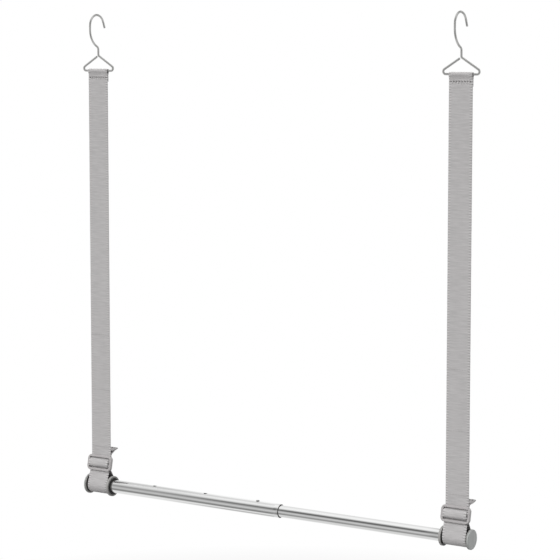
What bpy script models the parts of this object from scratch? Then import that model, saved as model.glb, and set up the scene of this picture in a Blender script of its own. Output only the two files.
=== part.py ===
"""Hanging closet rod: two wire hooks, two webbing straps and a telescopic rod that hangs in them.

Metres, +Z up, +X along the rod to the right, +Y to the back. The origin is the inside of the left hook's
crown, where the closet's own rod bears. The rod is drawn right out, and its button is in the last hole.
"""

from collections import namedtuple
from math import acos, atan2, ceil, cos, pi, radians, sin, sqrt, tan

import bmesh
import bpy
from mathutils import Vector

# Fits
CLEARANCE = 0.0003  # gap between pieces that touch
STRAP_SIDE_GAP = 0.0008  # between a strap's edge and what guides it
STRAP_OUTER_GAP = 0.0020  # between a strap's outer edge and the spool's outer flange
TELESCOPE_GAP = 0.0004  # between the outer tube's bore and the inner tube

# Overall
STRAP_SPACING = 0.675  # between the middles of the two straps
DROP = 0.7875  # from the hook's seat down to the rod's axis

# Wire hook
WIRE_DIAMETER = 0.0035
HOOK_BORE = 0.033  # inside the crown, for the closet's own rod
HOOK_OFFSET = 0.0033  # the stem stands this far behind the crown's middle
HOOK_TIP_LIFT = radians(22)  # where the crown's arc ends, above its middle
HOOK_TIP_LENGTH = 0.0102  # straight end of the wire
LEG_HEIGHT = 0.039  # from the stem's top up to the crown's middle
LEG_STRAIGHT = 0.006  # upright stretch below the crown's arc
NECK_RADIUS = 0.006  # bend from the stem to the front leg
STEM_LENGTH = 0.0095
APEX_RADIUS = 0.003
TRIANGLE_HEIGHT = 0.025  # from the bar up to the apex
TRIANGLE_CORNER_RADIUS = 0.004
BAR_SIDE_ROOM = 0.006  # straight bar beyond the strap's edge
WIRE_END_ROOM = 0.0008  # between the wire's free end and the apex

# Webbing
STRAP_WIDTH = 0.040
STRAP_THICKNESS = 0.0013
STRAP_BEND_ROOM = 0.00075  # inside radius of the bends behind the buckle
ROLL_RADIUS = 0.003  # bend of the inner layer over the buckle's centre bar
HEM_NECK_DROP = 0.0075  # where the hem's two layers come together, below the bar
HEM_STITCH_DROP = 0.003  # stitch row below the neck
HEM_LAP = 0.0105  # folded end below the neck
TAIL_LIFT = 0.0022  # the tail's bend above the buckle
TAIL_RUN = 0.0105  # from the tail's bend to its sewn end, to the back
TAIL_RISE = 0.0045  # from the tail's bend to its sewn end, upwards
TAIL_BEND_RADIUS = 0.0045
TAIL_HEM = 0.0078  # sewn end, where the webbing is folded over
TAIL_HEM_RADIUS = 0.005  # where the two layers part
TAIL_STITCH_INSET = 0.0035  # stitch row from the tip
TAIL_FLAP_RUN = 0.0090  # free end of the fold, back towards the strap
TAIL_FLAP_RISE = 0.0040  # how far that end stands up
STITCH_LENGTH = 0.0026
STITCH_MARGIN = 0.002  # from the last stitch to the strap's edge
THREAD_DIAMETER = 0.0006
ENTRY_LAYERS = 1.2  # outer layer's bend behind a slot, in layers from the slot's middle
OVER_LAYERS = 0.7  # outer layer's bend in front of a slot, in layers from the slot's middle
FOLD_LAYERS = 0.49  # bend radius of the tail's fold, in layers

# Buckle
BUCKLE_LIFT = 0.0088  # from the spool's flange up to the buckle
BUCKLE_TILT = radians(12)  # its top leans back
BUCKLE_THICKNESS = 0.0034
BUCKLE_BAR = 0.004  # top and bottom bars
BUCKLE_CENTRE_BAR = 0.006
BUCKLE_SIDE_BAR = 0.0037
BUCKLE_SLOT_ROOM = 0.0028  # slot width beyond the two layers in it
BUCKLE_CORNER_RADIUS = 0.007
BUCKLE_SLOT_CORNER_RADIUS = 0.001
BUCKLE_EDGE_RADIUS = 0.0008

# Tubes
OUTER_TUBE_RADIUS = 0.011
OUTER_TUBE_WALL = 0.0011
OUTER_TUBE_PAST_BUTTON = 0.044  # from the button to the tube's open end
INNER_TUBE_WALL = 0.0009
INNER_TUBE_PAST_SPRING = 0.006  # from the spring's bend to the tube's inner end
BUTTON_REACH = 0.315  # from the left strap's middle to the button
HOLE_PITCH = 0.102
SHORTEST_HOLE_GAP = 0.0042  # from the left spool's mouth to the hole of the shortest setting

# Spool and its fittings
SOCKET_WALL = 0.0011  # plastic between the tube and the strap
SOCKET_SHOULDER = 0.002  # step that the tube stops at
SOCKET_SHOULDER_LENGTH = 0.0019  # from that step to the cap's spigot
FLANGE_LIP = 0.0029  # flange beyond the strap
INNER_FLANGE = 0.004
OUTER_FLANGE = 0.0012
FLANGE_EDGE = 0.0008  # chamfer
RECESS_WALL = 0.001  # flange left behind the recess in the mouth
RECESS_RIM = 0.003
RING_THICKNESS = 0.002
CAP_THICKNESS = 0.0024
CAP_EDGE = 0.001  # chamfer
CAP_SPIGOT_WALL = 0.0014
CAP_SPIGOT_LENGTH = 0.0085
CAP_FACE_THICKNESS = 0.0020

# Lock button and its spring
BUTTON_RADIUS = 0.00275
BUTTON_PROUD = 0.0014  # above the outer tube
BUTTON_DOME = 0.0008
BUTTON_HEAD_LIP = 0.00125
BUTTON_HEAD_THICKNESS = 0.001
SPRING_WIDTH = 0.007
SPRING_THICKNESS = 0.0007
SPRING_LENGTH = 0.024  # from the button to the bend
SPRING_PAD = 0.006  # flat stretch each way under the button
SPRING_SLOPE = 0.003  # how far the upper leg falls to the bend
SPRING_BEND_RADIUS = 0.003

# Facets
ROUND_STEPS = 32
HOLE_STEPS = 20
DOME_STEPS = 3
ARC_STEP = radians(13)
SMOOTH_ANGLE = radians(35)
HOOK_BEVEL_RESOLUTION = 3
BUCKLE_BEVEL_RESOLUTION = 1
THREAD_BEVEL_RESOLUTION = 0
MERGE_DISTANCE = 1e-6  # points on a turned piece's axis become one

# Worked out from the sizes above
LAYER = STRAP_THICKNESS + CLEARANCE
STRAP_Y = -LAYER / 2
INNER_BEND_RADIUS = STRAP_THICKNESS / 2 + STRAP_BEND_ROOM
WIRE_RADIUS = WIRE_DIAMETER / 2
THREAD_RADIUS = THREAD_DIAMETER / 2
BAR_DROP = HOOK_BORE / 2 + LEG_HEIGHT + STEM_LENGTH + TRIANGLE_HEIGHT
STRAP_HALF = STRAP_WIDTH / 2 + STRAP_SIDE_GAP
INNER_TUBE_RADIUS = OUTER_TUBE_RADIUS - OUTER_TUBE_WALL - TELESCOPE_GAP
RECESS_FLOOR = -STRAP_HALF - RECESS_WALL
SPOOL_MOUTH = -STRAP_HALF - INNER_FLANGE
OUTER_FACE = STRAP_WIDTH / 2 + STRAP_OUTER_GAP
CAP_SEAT = OUTER_FACE + OUTER_FLANGE
CAP_SPIGOT_END = CAP_SEAT - CAP_SPIGOT_LENGTH
SOCKET_STOP = CAP_SPIGOT_END - SOCKET_SHOULDER_LENGTH
TUBE_END = SOCKET_STOP - CLEARANCE
BUCKLE_SLOT = 2 * LAYER + BUCKLE_SLOT_ROOM
BUCKLE_WINDOW = STRAP_WIDTH + 2 * STRAP_SIDE_GAP
BUCKLE_WIDTH = BUCKLE_WINDOW + 2 * BUCKLE_SIDE_BAR
BUCKLE_HEIGHT = BUCKLE_CENTRE_BAR + 2 * (BUCKLE_SLOT + BUCKLE_BAR)
SLOT_MIDDLE = (BUCKLE_CENTRE_BAR + BUCKLE_SLOT) / 2
HOLE_RADIUS = BUTTON_RADIUS + CLEARANCE
BUTTON_HEAD_RADIUS = BUTTON_RADIUS + BUTTON_HEAD_LIP
BUTTON_X = BUTTON_REACH - STRAP_SPACING
SHORTEST_HOLE_REACH = SHORTEST_HOLE_GAP - SPOOL_MOUTH

# The buckle stands so far forward that its top bar's back edge clears the strap's front face
BUCKLE_Y = (
    STRAP_Y
    - STRAP_THICKNESS / 2
    - CLEARANCE
    - BUCKLE_HEIGHT / 2 * sin(BUCKLE_TILT)
    - BUCKLE_THICKNESS / 2 * cos(BUCKLE_TILT)
)

# What depends on the tube that goes into a spool: radii, and the buckle's height above the rod's axis
Fitting = namedtuple("Fitting", "tube socket core flange recess spigot buckle_rise")


def fitting(tube):
    """The radii of the spool for a tube of this radius, and the height of the buckle above it."""
    socket = tube + CLEARANCE
    core = socket + SOCKET_WALL
    flange = core + LAYER + FLANGE_LIP
    spigot = socket - SOCKET_SHOULDER - CLEARANCE
    buckle_rise = flange + BUCKLE_LIFT + BUCKLE_HEIGHT / 2 * cos(BUCKLE_TILT)
    return Fitting(tube, socket, core, flange, flange - RECESS_RIM, spigot, buckle_rise)


LEFT_FITTING = fitting(OUTER_TUBE_RADIUS)
RIGHT_FITTING = fitting(INNER_TUBE_RADIUS)


# Paths in a plane

def arc(centre, radius, start, end):
    """Points along an arc from one angle to another, both included."""
    steps = max(2, ceil(abs(end - start) / ARC_STEP))
    angles = [start + (end - start) * i / steps for i in range(steps + 1)]
    return [centre + radius * Vector((cos(a), sin(a))) for a in angles]


def rounded(corners):
    """A path through (point, radius) corners, each inner corner rounded to its radius."""
    path = [corners[0][0]]
    for (before, _), (corner, radius), (after, _) in zip(corners, corners[1:], corners[2:]):
        into = (corner - before).normalized()
        out = (after - corner).normalized()
        turn = atan2(into.x * out.y - into.y * out.x, into.dot(out))
        side = 1 if turn > 0 else -1
        start = corner - into * radius * tan(abs(turn) / 2)
        centre = start + side * radius * Vector((-into.y, into.x))
        first = atan2(start.y - centre.y, start.x - centre.x)
        path += arc(centre, radius, first, first + turn)
    return path + [corners[-1][0]]


def belt(centre, radius, arriving, leaving):
    """The arc of a belt from one point, anticlockwise round a circle, to another."""
    toward = arriving - centre
    away = leaving - centre
    start = atan2(toward.y, toward.x) + acos(radius / toward.length)
    end = atan2(away.y, away.x) - acos(radius / away.length)
    end += 2 * pi * ceil((start - end) / (2 * pi))
    return arc(centre, radius, start, end)


def crossing(point, heading, other, other_heading):
    """Where two lines in the plane meet."""
    gap = other - point
    share = (gap.x * other_heading.y - gap.y * other_heading.x) / (
        heading.x * other_heading.y - heading.y * other_heading.x
    )
    return point + share * heading


def beside(path, distance):
    """The corners of a path that keeps this distance to the right of a path of straight lines."""
    headings = [(b - a).normalized() for a, b in zip(path, path[1:])]
    shifts = [distance * Vector((h.y, -h.x)) for h in headings]
    corners = [path[0] + shifts[0]]
    for i in range(1, len(headings)):
        corners.append(crossing(path[i] + shifts[i - 1], headings[i - 1], path[i] + shifts[i], headings[i]))
    return corners + [path[-1] + shifts[-1]]


# Making objects

def material(name, colour, roughness, metallic):
    made = bpy.data.materials.new(name)
    made.use_nodes = True
    shader = made.node_tree.nodes["Principled BSDF"]
    shader.inputs["Base Color"].default_value = (*colour, 1.0)
    shader.inputs["Roughness"].default_value = roughness
    shader.inputs["Metallic"].default_value = metallic
    return made


def place(name, data, parent, location, rotation, finish):
    """A named object with its material, at a place and turn under its parent."""
    made = bpy.data.objects.new(name, data)
    bpy.context.scene.collection.objects.link(made)
    made.parent = parent
    made.location = location
    made.rotation_euler = rotation
    data.materials.append(finish)
    return made


def axis_empty(name, location):
    made = bpy.data.objects.new(name, None)
    bpy.context.scene.collection.objects.link(made)
    made.location = location
    return made


def mesh_of(name, bm):
    made = bpy.data.meshes.new(name)
    bm.to_mesh(made)
    bm.free()
    return made


def turned(name, profile, closed):
    """A profile of (along X, radius) points turned round the X axis; an open one starts and ends on it."""
    bm = bmesh.new()
    verts = [bm.verts.new((along, 0, radius)) for along, radius in profile]
    edges = [bm.edges.new(pair) for pair in zip(verts, verts[1:])]
    if closed:
        edges.append(bm.edges.new((verts[-1], verts[0])))
    bmesh.ops.spin(
        bm,
        geom=verts + edges,
        cent=(0, 0, 0),
        axis=(1, 0, 0),
        angle=2 * pi,
        steps=ROUND_STEPS,
        use_merge=True,
    )
    bmesh.ops.remove_doubles(bm, verts=bm.verts, dist=MERGE_DISTANCE)
    bmesh.ops.recalc_face_normals(bm, faces=bm.faces)
    made = mesh_of(name, bm)
    made.shade_smooth()
    made.set_sharp_from_angle(angle=SMOOTH_ANGLE)
    return made


def ribbon(name, path, width):
    """A strip across X that follows a path of (y, z) points; Solidify gives it its thickness."""
    bm = bmesh.new()
    verts = [bm.verts.new((-width / 2, point.x, point.y)) for point in path]
    edges = [bm.edges.new(pair) for pair in zip(verts, verts[1:])]
    extruded = bmesh.ops.extrude_edge_only(bm, edges=edges)
    moved = [v for v in extruded["geom"] if isinstance(v, bmesh.types.BMVert)]
    bmesh.ops.translate(bm, verts=moved, vec=(width, 0, 0))
    return mesh_of(name, bm)


def thicken(strip, thickness):
    solid = strip.modifiers.new("thickness", "SOLIDIFY")
    solid.thickness = thickness
    solid.offset = 0
    solid.use_even_offset = True


def round_wire(name, points, diameter, bevel_resolution):
    """A round wire along a line of points, closed at its ends."""
    made = bpy.data.curves.new(name, "CURVE")
    made.dimensions = "3D"
    made.bevel_depth = diameter / 2
    made.bevel_resolution = bevel_resolution
    made.use_fill_caps = True
    spline = made.splines.new("POLY")
    spline.points.add(len(points) - 1)
    for knot, point in zip(spline.points, points):
        knot.co = (*point, 1)
    return made


def drill(tube, name, x):
    """A round hole through the top wall of a tube, at x along it."""
    bm = bmesh.new()
    bmesh.ops.create_cone(
        bm,
        cap_ends=True,
        segments=HOLE_STEPS,
        radius1=HOLE_RADIUS,
        radius2=HOLE_RADIUS,
        depth=OUTER_TUBE_RADIUS,
    )
    cutter = bpy.data.objects.new(name, mesh_of(name, bm))
    bpy.context.scene.collection.objects.link(cutter)
    cutter.parent = tube
    cutter.location = (x, 0, OUTER_TUBE_RADIUS)
    cutter.hide_render = True
    cutter.display_type = "WIRE"
    cut = tube.modifiers.new(name, "BOOLEAN")
    cut.operation = "DIFFERENCE"
    cut.solver = "EXACT"
    cut.object = cutter


# Hook

def hook_points():
    """The wire's centre line: free end, left slope, bar, right slope, stem, neck, leg, crown and tip."""
    apex = Vector((0, TRIANGLE_HEIGHT - BAR_DROP))
    foot = Vector((STRAP_WIDTH / 2 + BAR_SIDE_ROOM, TRIANGLE_CORNER_RADIUS - BAR_DROP))
    to_apex = apex - foot
    tangent = atan2(to_apex.y, to_apex.x) - acos(TRIANGLE_CORNER_RADIUS / to_apex.length)
    right_foot = arc(foot, TRIANGLE_CORNER_RADIUS, -pi / 2, tangent)
    left_foot = [Vector((-p.x, p.y)) for p in reversed(right_foot)]
    slope = (left_foot[0] - apex).normalized()
    stem_top = apex + Vector((0, STEM_LENGTH))
    to_stem = rounded([(right_foot[-1], 0), (apex, APEX_RADIUS), (stem_top, 0)])
    free_end = apex + slope * (WIRE_DIAMETER + WIRE_END_ROOM)
    flat = [free_end] + left_foot + right_foot[:-1] + to_stem[:-1]
    triangle = [Vector((p.x, HOOK_OFFSET, p.y)) for p in flat]

    radius = HOOK_BORE / 2 + WIRE_RADIUS
    crown = Vector((0, -HOOK_BORE / 2))
    forward = radius + HOOK_OFFSET
    climb = LEG_HEIGHT - LEG_STRAIGHT
    leg_radius = (forward**2 + climb**2) / (2 * forward) - NECK_RADIUS
    neck = Vector((HOOK_OFFSET - NECK_RADIUS, stem_top.y))
    leg = Vector((leg_radius - radius, crown.y - LEG_STRAIGHT))
    meeting = atan2(leg.y - neck.y, leg.x - neck.x)
    bend = arc(neck, NECK_RADIUS, 0, meeting)
    front = arc(leg, leg_radius, pi + meeting, pi)
    top = arc(crown, radius, pi, HOOK_TIP_LIFT)
    tip = top[-1] + HOOK_TIP_LENGTH * Vector((sin(HOOK_TIP_LIFT), -cos(HOOK_TIP_LIFT)))
    upper = bend + front[1:] + top + [tip]
    return triangle + [Vector((0, p.x, p.y)) for p in upper]


# Strap

def in_buckle(end, up, out):
    """A point in the (y, z) plane, from its height up the tilted buckle and its distance out of its front."""
    return Vector(
        (
            BUCKLE_Y + up * sin(BUCKLE_TILT) - out * cos(BUCKLE_TILT),
            end.buckle_rise + up * cos(BUCKLE_TILT) + out * sin(BUCKLE_TILT),
        )
    )


def seam_rise(end):
    """The seam between web and loop lies behind the buckle's top bar, this far above the rod's axis."""
    return in_buckle(end, (BUCKLE_HEIGHT - BUCKLE_BAR) / 2, 0).y


def web_path(end):
    """From the hem's end at the back, over the bar and down to the buckle; the bar is at the origin."""
    back_neck = Vector((-STRAP_Y, -HEM_NECK_DROP))
    front_neck = Vector((STRAP_Y, -HEM_NECK_DROP))
    loop = belt(Vector((0, 0)), WIRE_RADIUS + CLEARANCE + STRAP_THICKNESS / 2, back_neck, front_neck)
    hem_end = back_neck - Vector((0, HEM_LAP))
    web_end = Vector((STRAP_Y, BAR_DROP - DROP + seam_rise(end) + CLEARANCE / 2))
    return [hem_end, back_neck] + loop + [front_neck, web_end]


def loop_path(end):
    """Over the buckle's centre bar, round the spool, over the bar again and out as the tail.

    The rod's axis is at the origin. The path to the tail lies one layer inside the path to the spool.
    """
    drop = SLOT_MIDDLE + ENTRY_LAYERS * LAYER
    over = SLOT_MIDDLE - OVER_LAYERS * LAYER
    on_bar = BUCKLE_THICKNESS / 2 + CLEARANCE + STRAP_THICKNESS / 2
    front = on_bar + LAYER
    behind = on_bar + LAYER / 2
    seam = Vector((STRAP_Y, seam_rise(end) - CLEARANCE / 2))
    slot = in_buckle(end, drop, 0)
    entry = crossing(seam, Vector((0, -1)), slot, in_buckle(end, drop, 1) - slot)
    outer = [
        seam,
        entry,
        in_buckle(end, over, front),
        in_buckle(end, -over, front),
        in_buckle(end, -drop, -behind),
    ]
    inner = beside(outer, -LAYER)
    on_core = end.core + CLEARANCE + STRAP_THICKNESS / 2
    round_spool = belt(Vector((0, 0)), on_core, outer[-1], inner[-1])

    tail_bend, hem, tip, flap = tail_corners(end)
    over = Vector((0, LAYER))
    wide = INNER_BEND_RADIUS + LAYER
    fold_radius = FOLD_LAYERS * LAYER
    down = rounded(
        [
            (outer[0], 0),
            (outer[1], wide),
            (outer[2], ROLL_RADIUS + LAYER),
            (outer[3], ROLL_RADIUS + LAYER),
            (outer[4], wide),
            (round_spool[0], 0),
        ]
    )
    back = rounded(
        [
            (round_spool[-1], 0),
            (inner[4], wide),
            (inner[3], ROLL_RADIUS),
            (inner[2], ROLL_RADIUS),
            (inner[1], wide + LAYER),
            (tail_bend, TAIL_BEND_RADIUS),
            (hem, TAIL_HEM_RADIUS),
            (tip, fold_radius),
            (tip + over, fold_radius),
            (hem + over, TAIL_HEM_RADIUS),
            (flap, 0),
        ]
    )
    return down[:-1] + round_spool + back[1:]


def tail_corners(end):
    """The tail's bend above the buckle, the start of its sewn end, its tip, and the free end of its fold."""
    bend = Vector((STRAP_Y + LAYER, in_buckle(end, BUCKLE_HEIGHT / 2, 0).y + TAIL_LIFT))
    hem = bend + Vector((TAIL_RUN, TAIL_RISE))
    tip = hem + Vector((TAIL_HEM, 0))
    flap = hem + Vector((-TAIL_FLAP_RUN, LAYER + TAIL_FLAP_RISE))
    return bend, hem, tip, flap


def stitch_points(middle, normal):
    """A row of stitches across the strap: the thread dips towards the cloth between two stitches."""
    length = STRAP_WIDTH - 2 * STITCH_MARGIN
    count = max(1, round(length / STITCH_LENGTH))
    points = []
    for i in range(2 * count + 1):
        crest = THREAD_RADIUS if i % 2 else 0
        point = middle + normal * (CLEARANCE + THREAD_RADIUS + crest)
        points.append(Vector((length * (i / (2 * count) - 0.5), point.x, point.y)))
    return points


# Buckle

def buckle_curve(name):
    """A rounded plate with two slots and rounded edges."""
    made = bpy.data.curves.new(name, "CURVE")
    made.dimensions = "2D"
    made.fill_mode = "BOTH"
    made.extrude = BUCKLE_THICKNESS / 2 - BUCKLE_EDGE_RADIUS
    made.bevel_depth = BUCKLE_EDGE_RADIUS
    made.bevel_resolution = BUCKLE_BEVEL_RESOLUTION
    made.offset = -BUCKLE_EDGE_RADIUS
    outlines = [(0, BUCKLE_WIDTH, BUCKLE_HEIGHT, BUCKLE_CORNER_RADIUS)]
    for middle in (SLOT_MIDDLE, -SLOT_MIDDLE):
        outlines.append((middle, BUCKLE_WINDOW, BUCKLE_SLOT, BUCKLE_SLOT_CORNER_RADIUS))
    for middle, width, height, radius in outlines:
        spline = made.splines.new("POLY")
        path = rectangle(middle, width, height, radius)
        spline.points.add(len(path) - 1)
        spline.use_cyclic_u = True
        for knot, point in zip(spline.points, path):
            knot.co = (point.x, point.y, 0, 1)
    return made


def rectangle(middle, width, height, radius):
    """A rounded rectangle, from the middle of its lower edge and round."""
    low = middle - height / 2
    high = middle + height / 2
    start = Vector((0, low))
    turns = [(width / 2, low), (width / 2, high), (-width / 2, high), (-width / 2, low)]
    return rounded([(start, 0)] + [(Vector(turn), radius) for turn in turns] + [(start, 0)])[:-1]


# Spool, cap, rings and tubes, with x running outwards from the strap's middle

def spool_profile(end):
    edge = FLANGE_EDGE
    corners = [
        (SPOOL_MOUTH, end.recess, 0),
        (SPOOL_MOUTH, end.flange, edge),
        (-STRAP_HALF, end.flange, edge),
        (-STRAP_HALF, end.core, 0),
        (OUTER_FACE, end.core, 0),
        (OUTER_FACE, end.flange, edge),
        (CAP_SEAT, end.flange, 0),
        (CAP_SEAT, end.spigot + CLEARANCE, 0),
        (SOCKET_STOP, end.spigot + CLEARANCE, 0),
        (SOCKET_STOP, end.socket, 0),
        (RECESS_FLOOR, end.socket, 0),
        (RECESS_FLOOR, end.recess, 0),
    ]
    return chamfered(corners)


def cap_profile(end):
    inside = CAP_SEAT + CLEARANCE
    face = inside + CAP_THICKNESS
    bore = end.spigot - CAP_SPIGOT_WALL
    corners = [
        (face, 0, 0),
        (face, end.flange, CAP_EDGE),
        (inside, end.flange, 0),
        (inside, end.spigot, 0),
        (CAP_SPIGOT_END, end.spigot, 0),
        (CAP_SPIGOT_END, bore, 0),
        (face - CAP_FACE_THICKNESS, bore, 0),
        (face - CAP_FACE_THICKNESS, 0, 0),
    ]
    return chamfered(corners)


def chamfered(corners):
    """A profile of (along, radius, cut) corners, with two points in place of a corner that has a cut."""
    profile = []
    for i, (along, radius, cut) in enumerate(corners):
        corner = Vector((along, radius))
        if not cut:
            profile.append(corner)
            continue
        before = Vector(corners[i - 1][:2])
        after = Vector(corners[i + 1][:2])
        profile.append(corner + cut * (before - corner).normalized())
        profile.append(corner + cut * (after - corner).normalized())
    return profile


def ring_profile(end):
    """The plain ring in the recess of a spool's mouth."""
    seat = RECESS_FLOOR - CLEARANCE
    front = seat - RING_THICKNESS
    rim = end.recess - CLEARANCE
    return [(front, end.socket), (front, rim), (seat, rim), (seat, end.socket)]


def tube_profile(start, end, radius, wall):
    return [(start, radius), (end, radius), (end, radius - wall), (start, radius - wall)]


# Button and spring, round the button's own axis

def button_profile(bore):
    """The lock button along its axis: a head inside the inner tube, and a domed stem through both tubes."""
    head_top = sqrt(bore**2 - BUTTON_HEAD_RADIUS**2) - CLEARANCE
    head_low = head_top - BUTTON_HEAD_THICKNESS
    shoulder = OUTER_TUBE_RADIUS + BUTTON_PROUD - BUTTON_DOME
    rim = BUTTON_HEAD_RADIUS
    head = [(head_low, 0), (head_low, rim), (head_top, rim), (head_top, BUTTON_RADIUS)]
    angles = [pi / 2 * i / DOME_STEPS for i in range(DOME_STEPS)]
    dome = [(shoulder + BUTTON_DOME * sin(a), BUTTON_RADIUS * cos(a)) for a in angles]
    return head + dome + [(shoulder + BUTTON_DOME, 0)]


def spring_path(bore, head_low):
    """The leaf spring from under the button, round its bend and back along the bottom of the tube."""
    upper = head_low - CLEARANCE - SPRING_THICKNESS / 2
    lower = CLEARANCE + SPRING_THICKNESS / 2 - sqrt(bore**2 - (SPRING_WIDTH / 2) ** 2)
    bend = SPRING_BEND_RADIUS
    return rounded(
        [
            (Vector((-SPRING_PAD, upper)), 0),
            (Vector((SPRING_PAD, upper)), bend),
            (Vector((SPRING_LENGTH, upper - SPRING_SLOPE)), bend),
            (Vector((SPRING_LENGTH, lower)), bend),
            (Vector((-SPRING_PAD, lower)), 0),
        ]
    )


def build_side(side, x, turn, end, finishes):
    """Hook, strap, buckle, spool, cap and ring of one side; turn faces the spool's outer end outwards."""
    hem_axis = axis_empty(f"{side}_hem_axis", (x, HOOK_OFFSET, -BAR_DROP))
    rod_axis = axis_empty(f"{side}_rod_axis", (x, HOOK_OFFSET, -DROP))
    at_axis = (0, 0, 0)
    upright = (0, 0, 0)

    hook = round_wire(f"{side}_hook", hook_points(), WIRE_DIAMETER, HOOK_BEVEL_RESOLUTION)
    place(f"{side}_hook", hook, hem_axis, (0, -HOOK_OFFSET, BAR_DROP), upright, finishes["wire"])

    web = ribbon(f"{side}_strap_web", web_path(end), STRAP_WIDTH)
    strip = place(f"{side}_strap_web", web, hem_axis, at_axis, upright, finishes["webbing"])
    thicken(strip, STRAP_THICKNESS)
    hem_face = Vector((STRAP_Y - STRAP_THICKNESS / 2, -HEM_NECK_DROP - HEM_STITCH_DROP))
    hem_row = stitch_points(hem_face, Vector((-1, 0)))
    hem_stitch = round_wire(f"{side}_hem_stitch", hem_row, THREAD_DIAMETER, THREAD_BEVEL_RESOLUTION)
    place(f"{side}_hem_stitch", hem_stitch, hem_axis, at_axis, upright, finishes["thread"])

    loop = ribbon(f"{side}_strap_loop", loop_path(end), STRAP_WIDTH)
    strip = place(f"{side}_strap_loop", loop, rod_axis, at_axis, upright, finishes["webbing"])
    thicken(strip, STRAP_THICKNESS)
    tip = tail_corners(end)[2]
    hem_top = tip + Vector((-TAIL_STITCH_INSET, LAYER + STRAP_THICKNESS / 2))
    tail_row = stitch_points(hem_top, Vector((0, 1)))
    tail_stitch = round_wire(f"{side}_tail_stitch", tail_row, THREAD_DIAMETER, THREAD_BEVEL_RESOLUTION)
    place(f"{side}_tail_stitch", tail_stitch, rod_axis, at_axis, upright, finishes["thread"])

    buckle = buckle_curve(f"{side}_buckle")
    middle = in_buckle(end, 0, 0)
    tilted = (pi / 2 - BUCKLE_TILT, 0, 0)
    place(f"{side}_buckle", buckle, rod_axis, (0, middle.x, middle.y), tilted, finishes["plastic"])

    spool = turned(f"{side}_spool", spool_profile(end), True)
    place(f"{side}_spool", spool, rod_axis, at_axis, (0, 0, turn), finishes["plastic"])
    cap = turned(f"{side}_end_cap", cap_profile(end), False)
    place(f"{side}_end_cap", cap, rod_axis, at_axis, (0, 0, turn), finishes["cap"])
    ring = turned(f"{side}_socket_ring", ring_profile(end), True)
    place(f"{side}_socket_ring", ring, rod_axis, at_axis, (0, 0, turn), finishes["ring"])
    return rod_axis


def build_left_rod(rod_axis, finishes):
    """The outer tube with its holes."""
    at_axis = (0, 0, 0)
    open_end = BUTTON_REACH + OUTER_TUBE_PAST_BUTTON
    profile = tube_profile(-TUBE_END, open_end, OUTER_TUBE_RADIUS, OUTER_TUBE_WALL)
    outer = turned("outer_tube", profile, True)
    tube = place("outer_tube", outer, rod_axis, at_axis, (0, 0, 0), finishes["chrome"])
    row = ceil((BUTTON_REACH - SHORTEST_HOLE_REACH) / HOLE_PITCH)
    holes = [BUTTON_REACH - i * HOLE_PITCH for i in range(row)] + [SHORTEST_HOLE_REACH]
    for i, x in enumerate(holes):
        drill(tube, f"outer_hole_{i + 1}", x)


def build_right_rod(rod_axis, finishes):
    """The inner tube, and the lock button on its spring."""
    at_axis = (0, 0, 0)
    inner_end = BUTTON_X - SPRING_LENGTH - INNER_TUBE_PAST_SPRING
    profile = tube_profile(inner_end, TUBE_END, INNER_TUBE_RADIUS, INNER_TUBE_WALL)
    inner = turned("inner_tube", profile, True)
    tube = place("inner_tube", inner, rod_axis, at_axis, (0, 0, 0), finishes["chrome"])
    drill(tube, "button_hole", BUTTON_X)

    bore = INNER_TUBE_RADIUS - INNER_TUBE_WALL
    profile = button_profile(bore)
    button = turned("lock_button", profile, False)
    place("lock_button", button, rod_axis, (BUTTON_X, 0, 0), (0, -pi / 2, 0), finishes["button"])
    spring = ribbon("button_spring", spring_path(bore, profile[0][0]), SPRING_WIDTH)
    strip = place("button_spring", spring, rod_axis, (BUTTON_X, 0, 0), (0, 0, pi / 2), finishes["spring"])
    thicken(strip, SPRING_THICKNESS)


def build():
    for old in list(bpy.data.objects):
        bpy.data.objects.remove(old, do_unlink=True)
    finishes = {
        "wire": material("plated_wire", (0.62, 0.62, 0.62), 0.28, 1.0),
        "webbing": material("webbing", (0.43, 0.42, 0.42), 0.85, 0.0),
        "thread": material("thread", (0.38, 0.37, 0.37), 0.8, 0.0),
        "plastic": material("grey_plastic", (0.44, 0.43, 0.43), 0.45, 0.0),
        "cap": material("cap_plastic", (0.28, 0.30, 0.29), 0.4, 0.0),
        "ring": material("dark_plastic", (0.03, 0.03, 0.03), 0.6, 0.0),
        "chrome": material("chrome", (0.80, 0.80, 0.80), 0.08, 1.0),
        "button": material("button_steel", (0.55, 0.55, 0.55), 0.25, 1.0),
        "spring": material("spring_steel", (0.45, 0.45, 0.46), 0.35, 1.0),
    }
    left_rod = build_side("left", 0, pi, LEFT_FITTING, finishes)
    right_rod = build_side("right", STRAP_SPACING, 0, RIGHT_FITTING, finishes)
    build_left_rod(left_rod, finishes)
    build_right_rod(right_rod, finishes)


build()
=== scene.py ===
# %% [markdown]
# # A hanging closet rod
#
# Two wire hooks go over the rod that a closet already has. A grey webbing strap hangs from each hook, and
# the two straps carry a second, telescopic rod of chrome tube. This lesson dresses the CAD model of it:
# smooth surfaces, cloth that looks woven, and chrome that has something to reflect.
#
# The CAD model comes in as a fixed frame. It says where everything is and how it moves, so no piece here is
# placed by eye.

# %% The frame
from collections import namedtuple
from math import acos, atan2, ceil, pi, radians, tan

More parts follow.
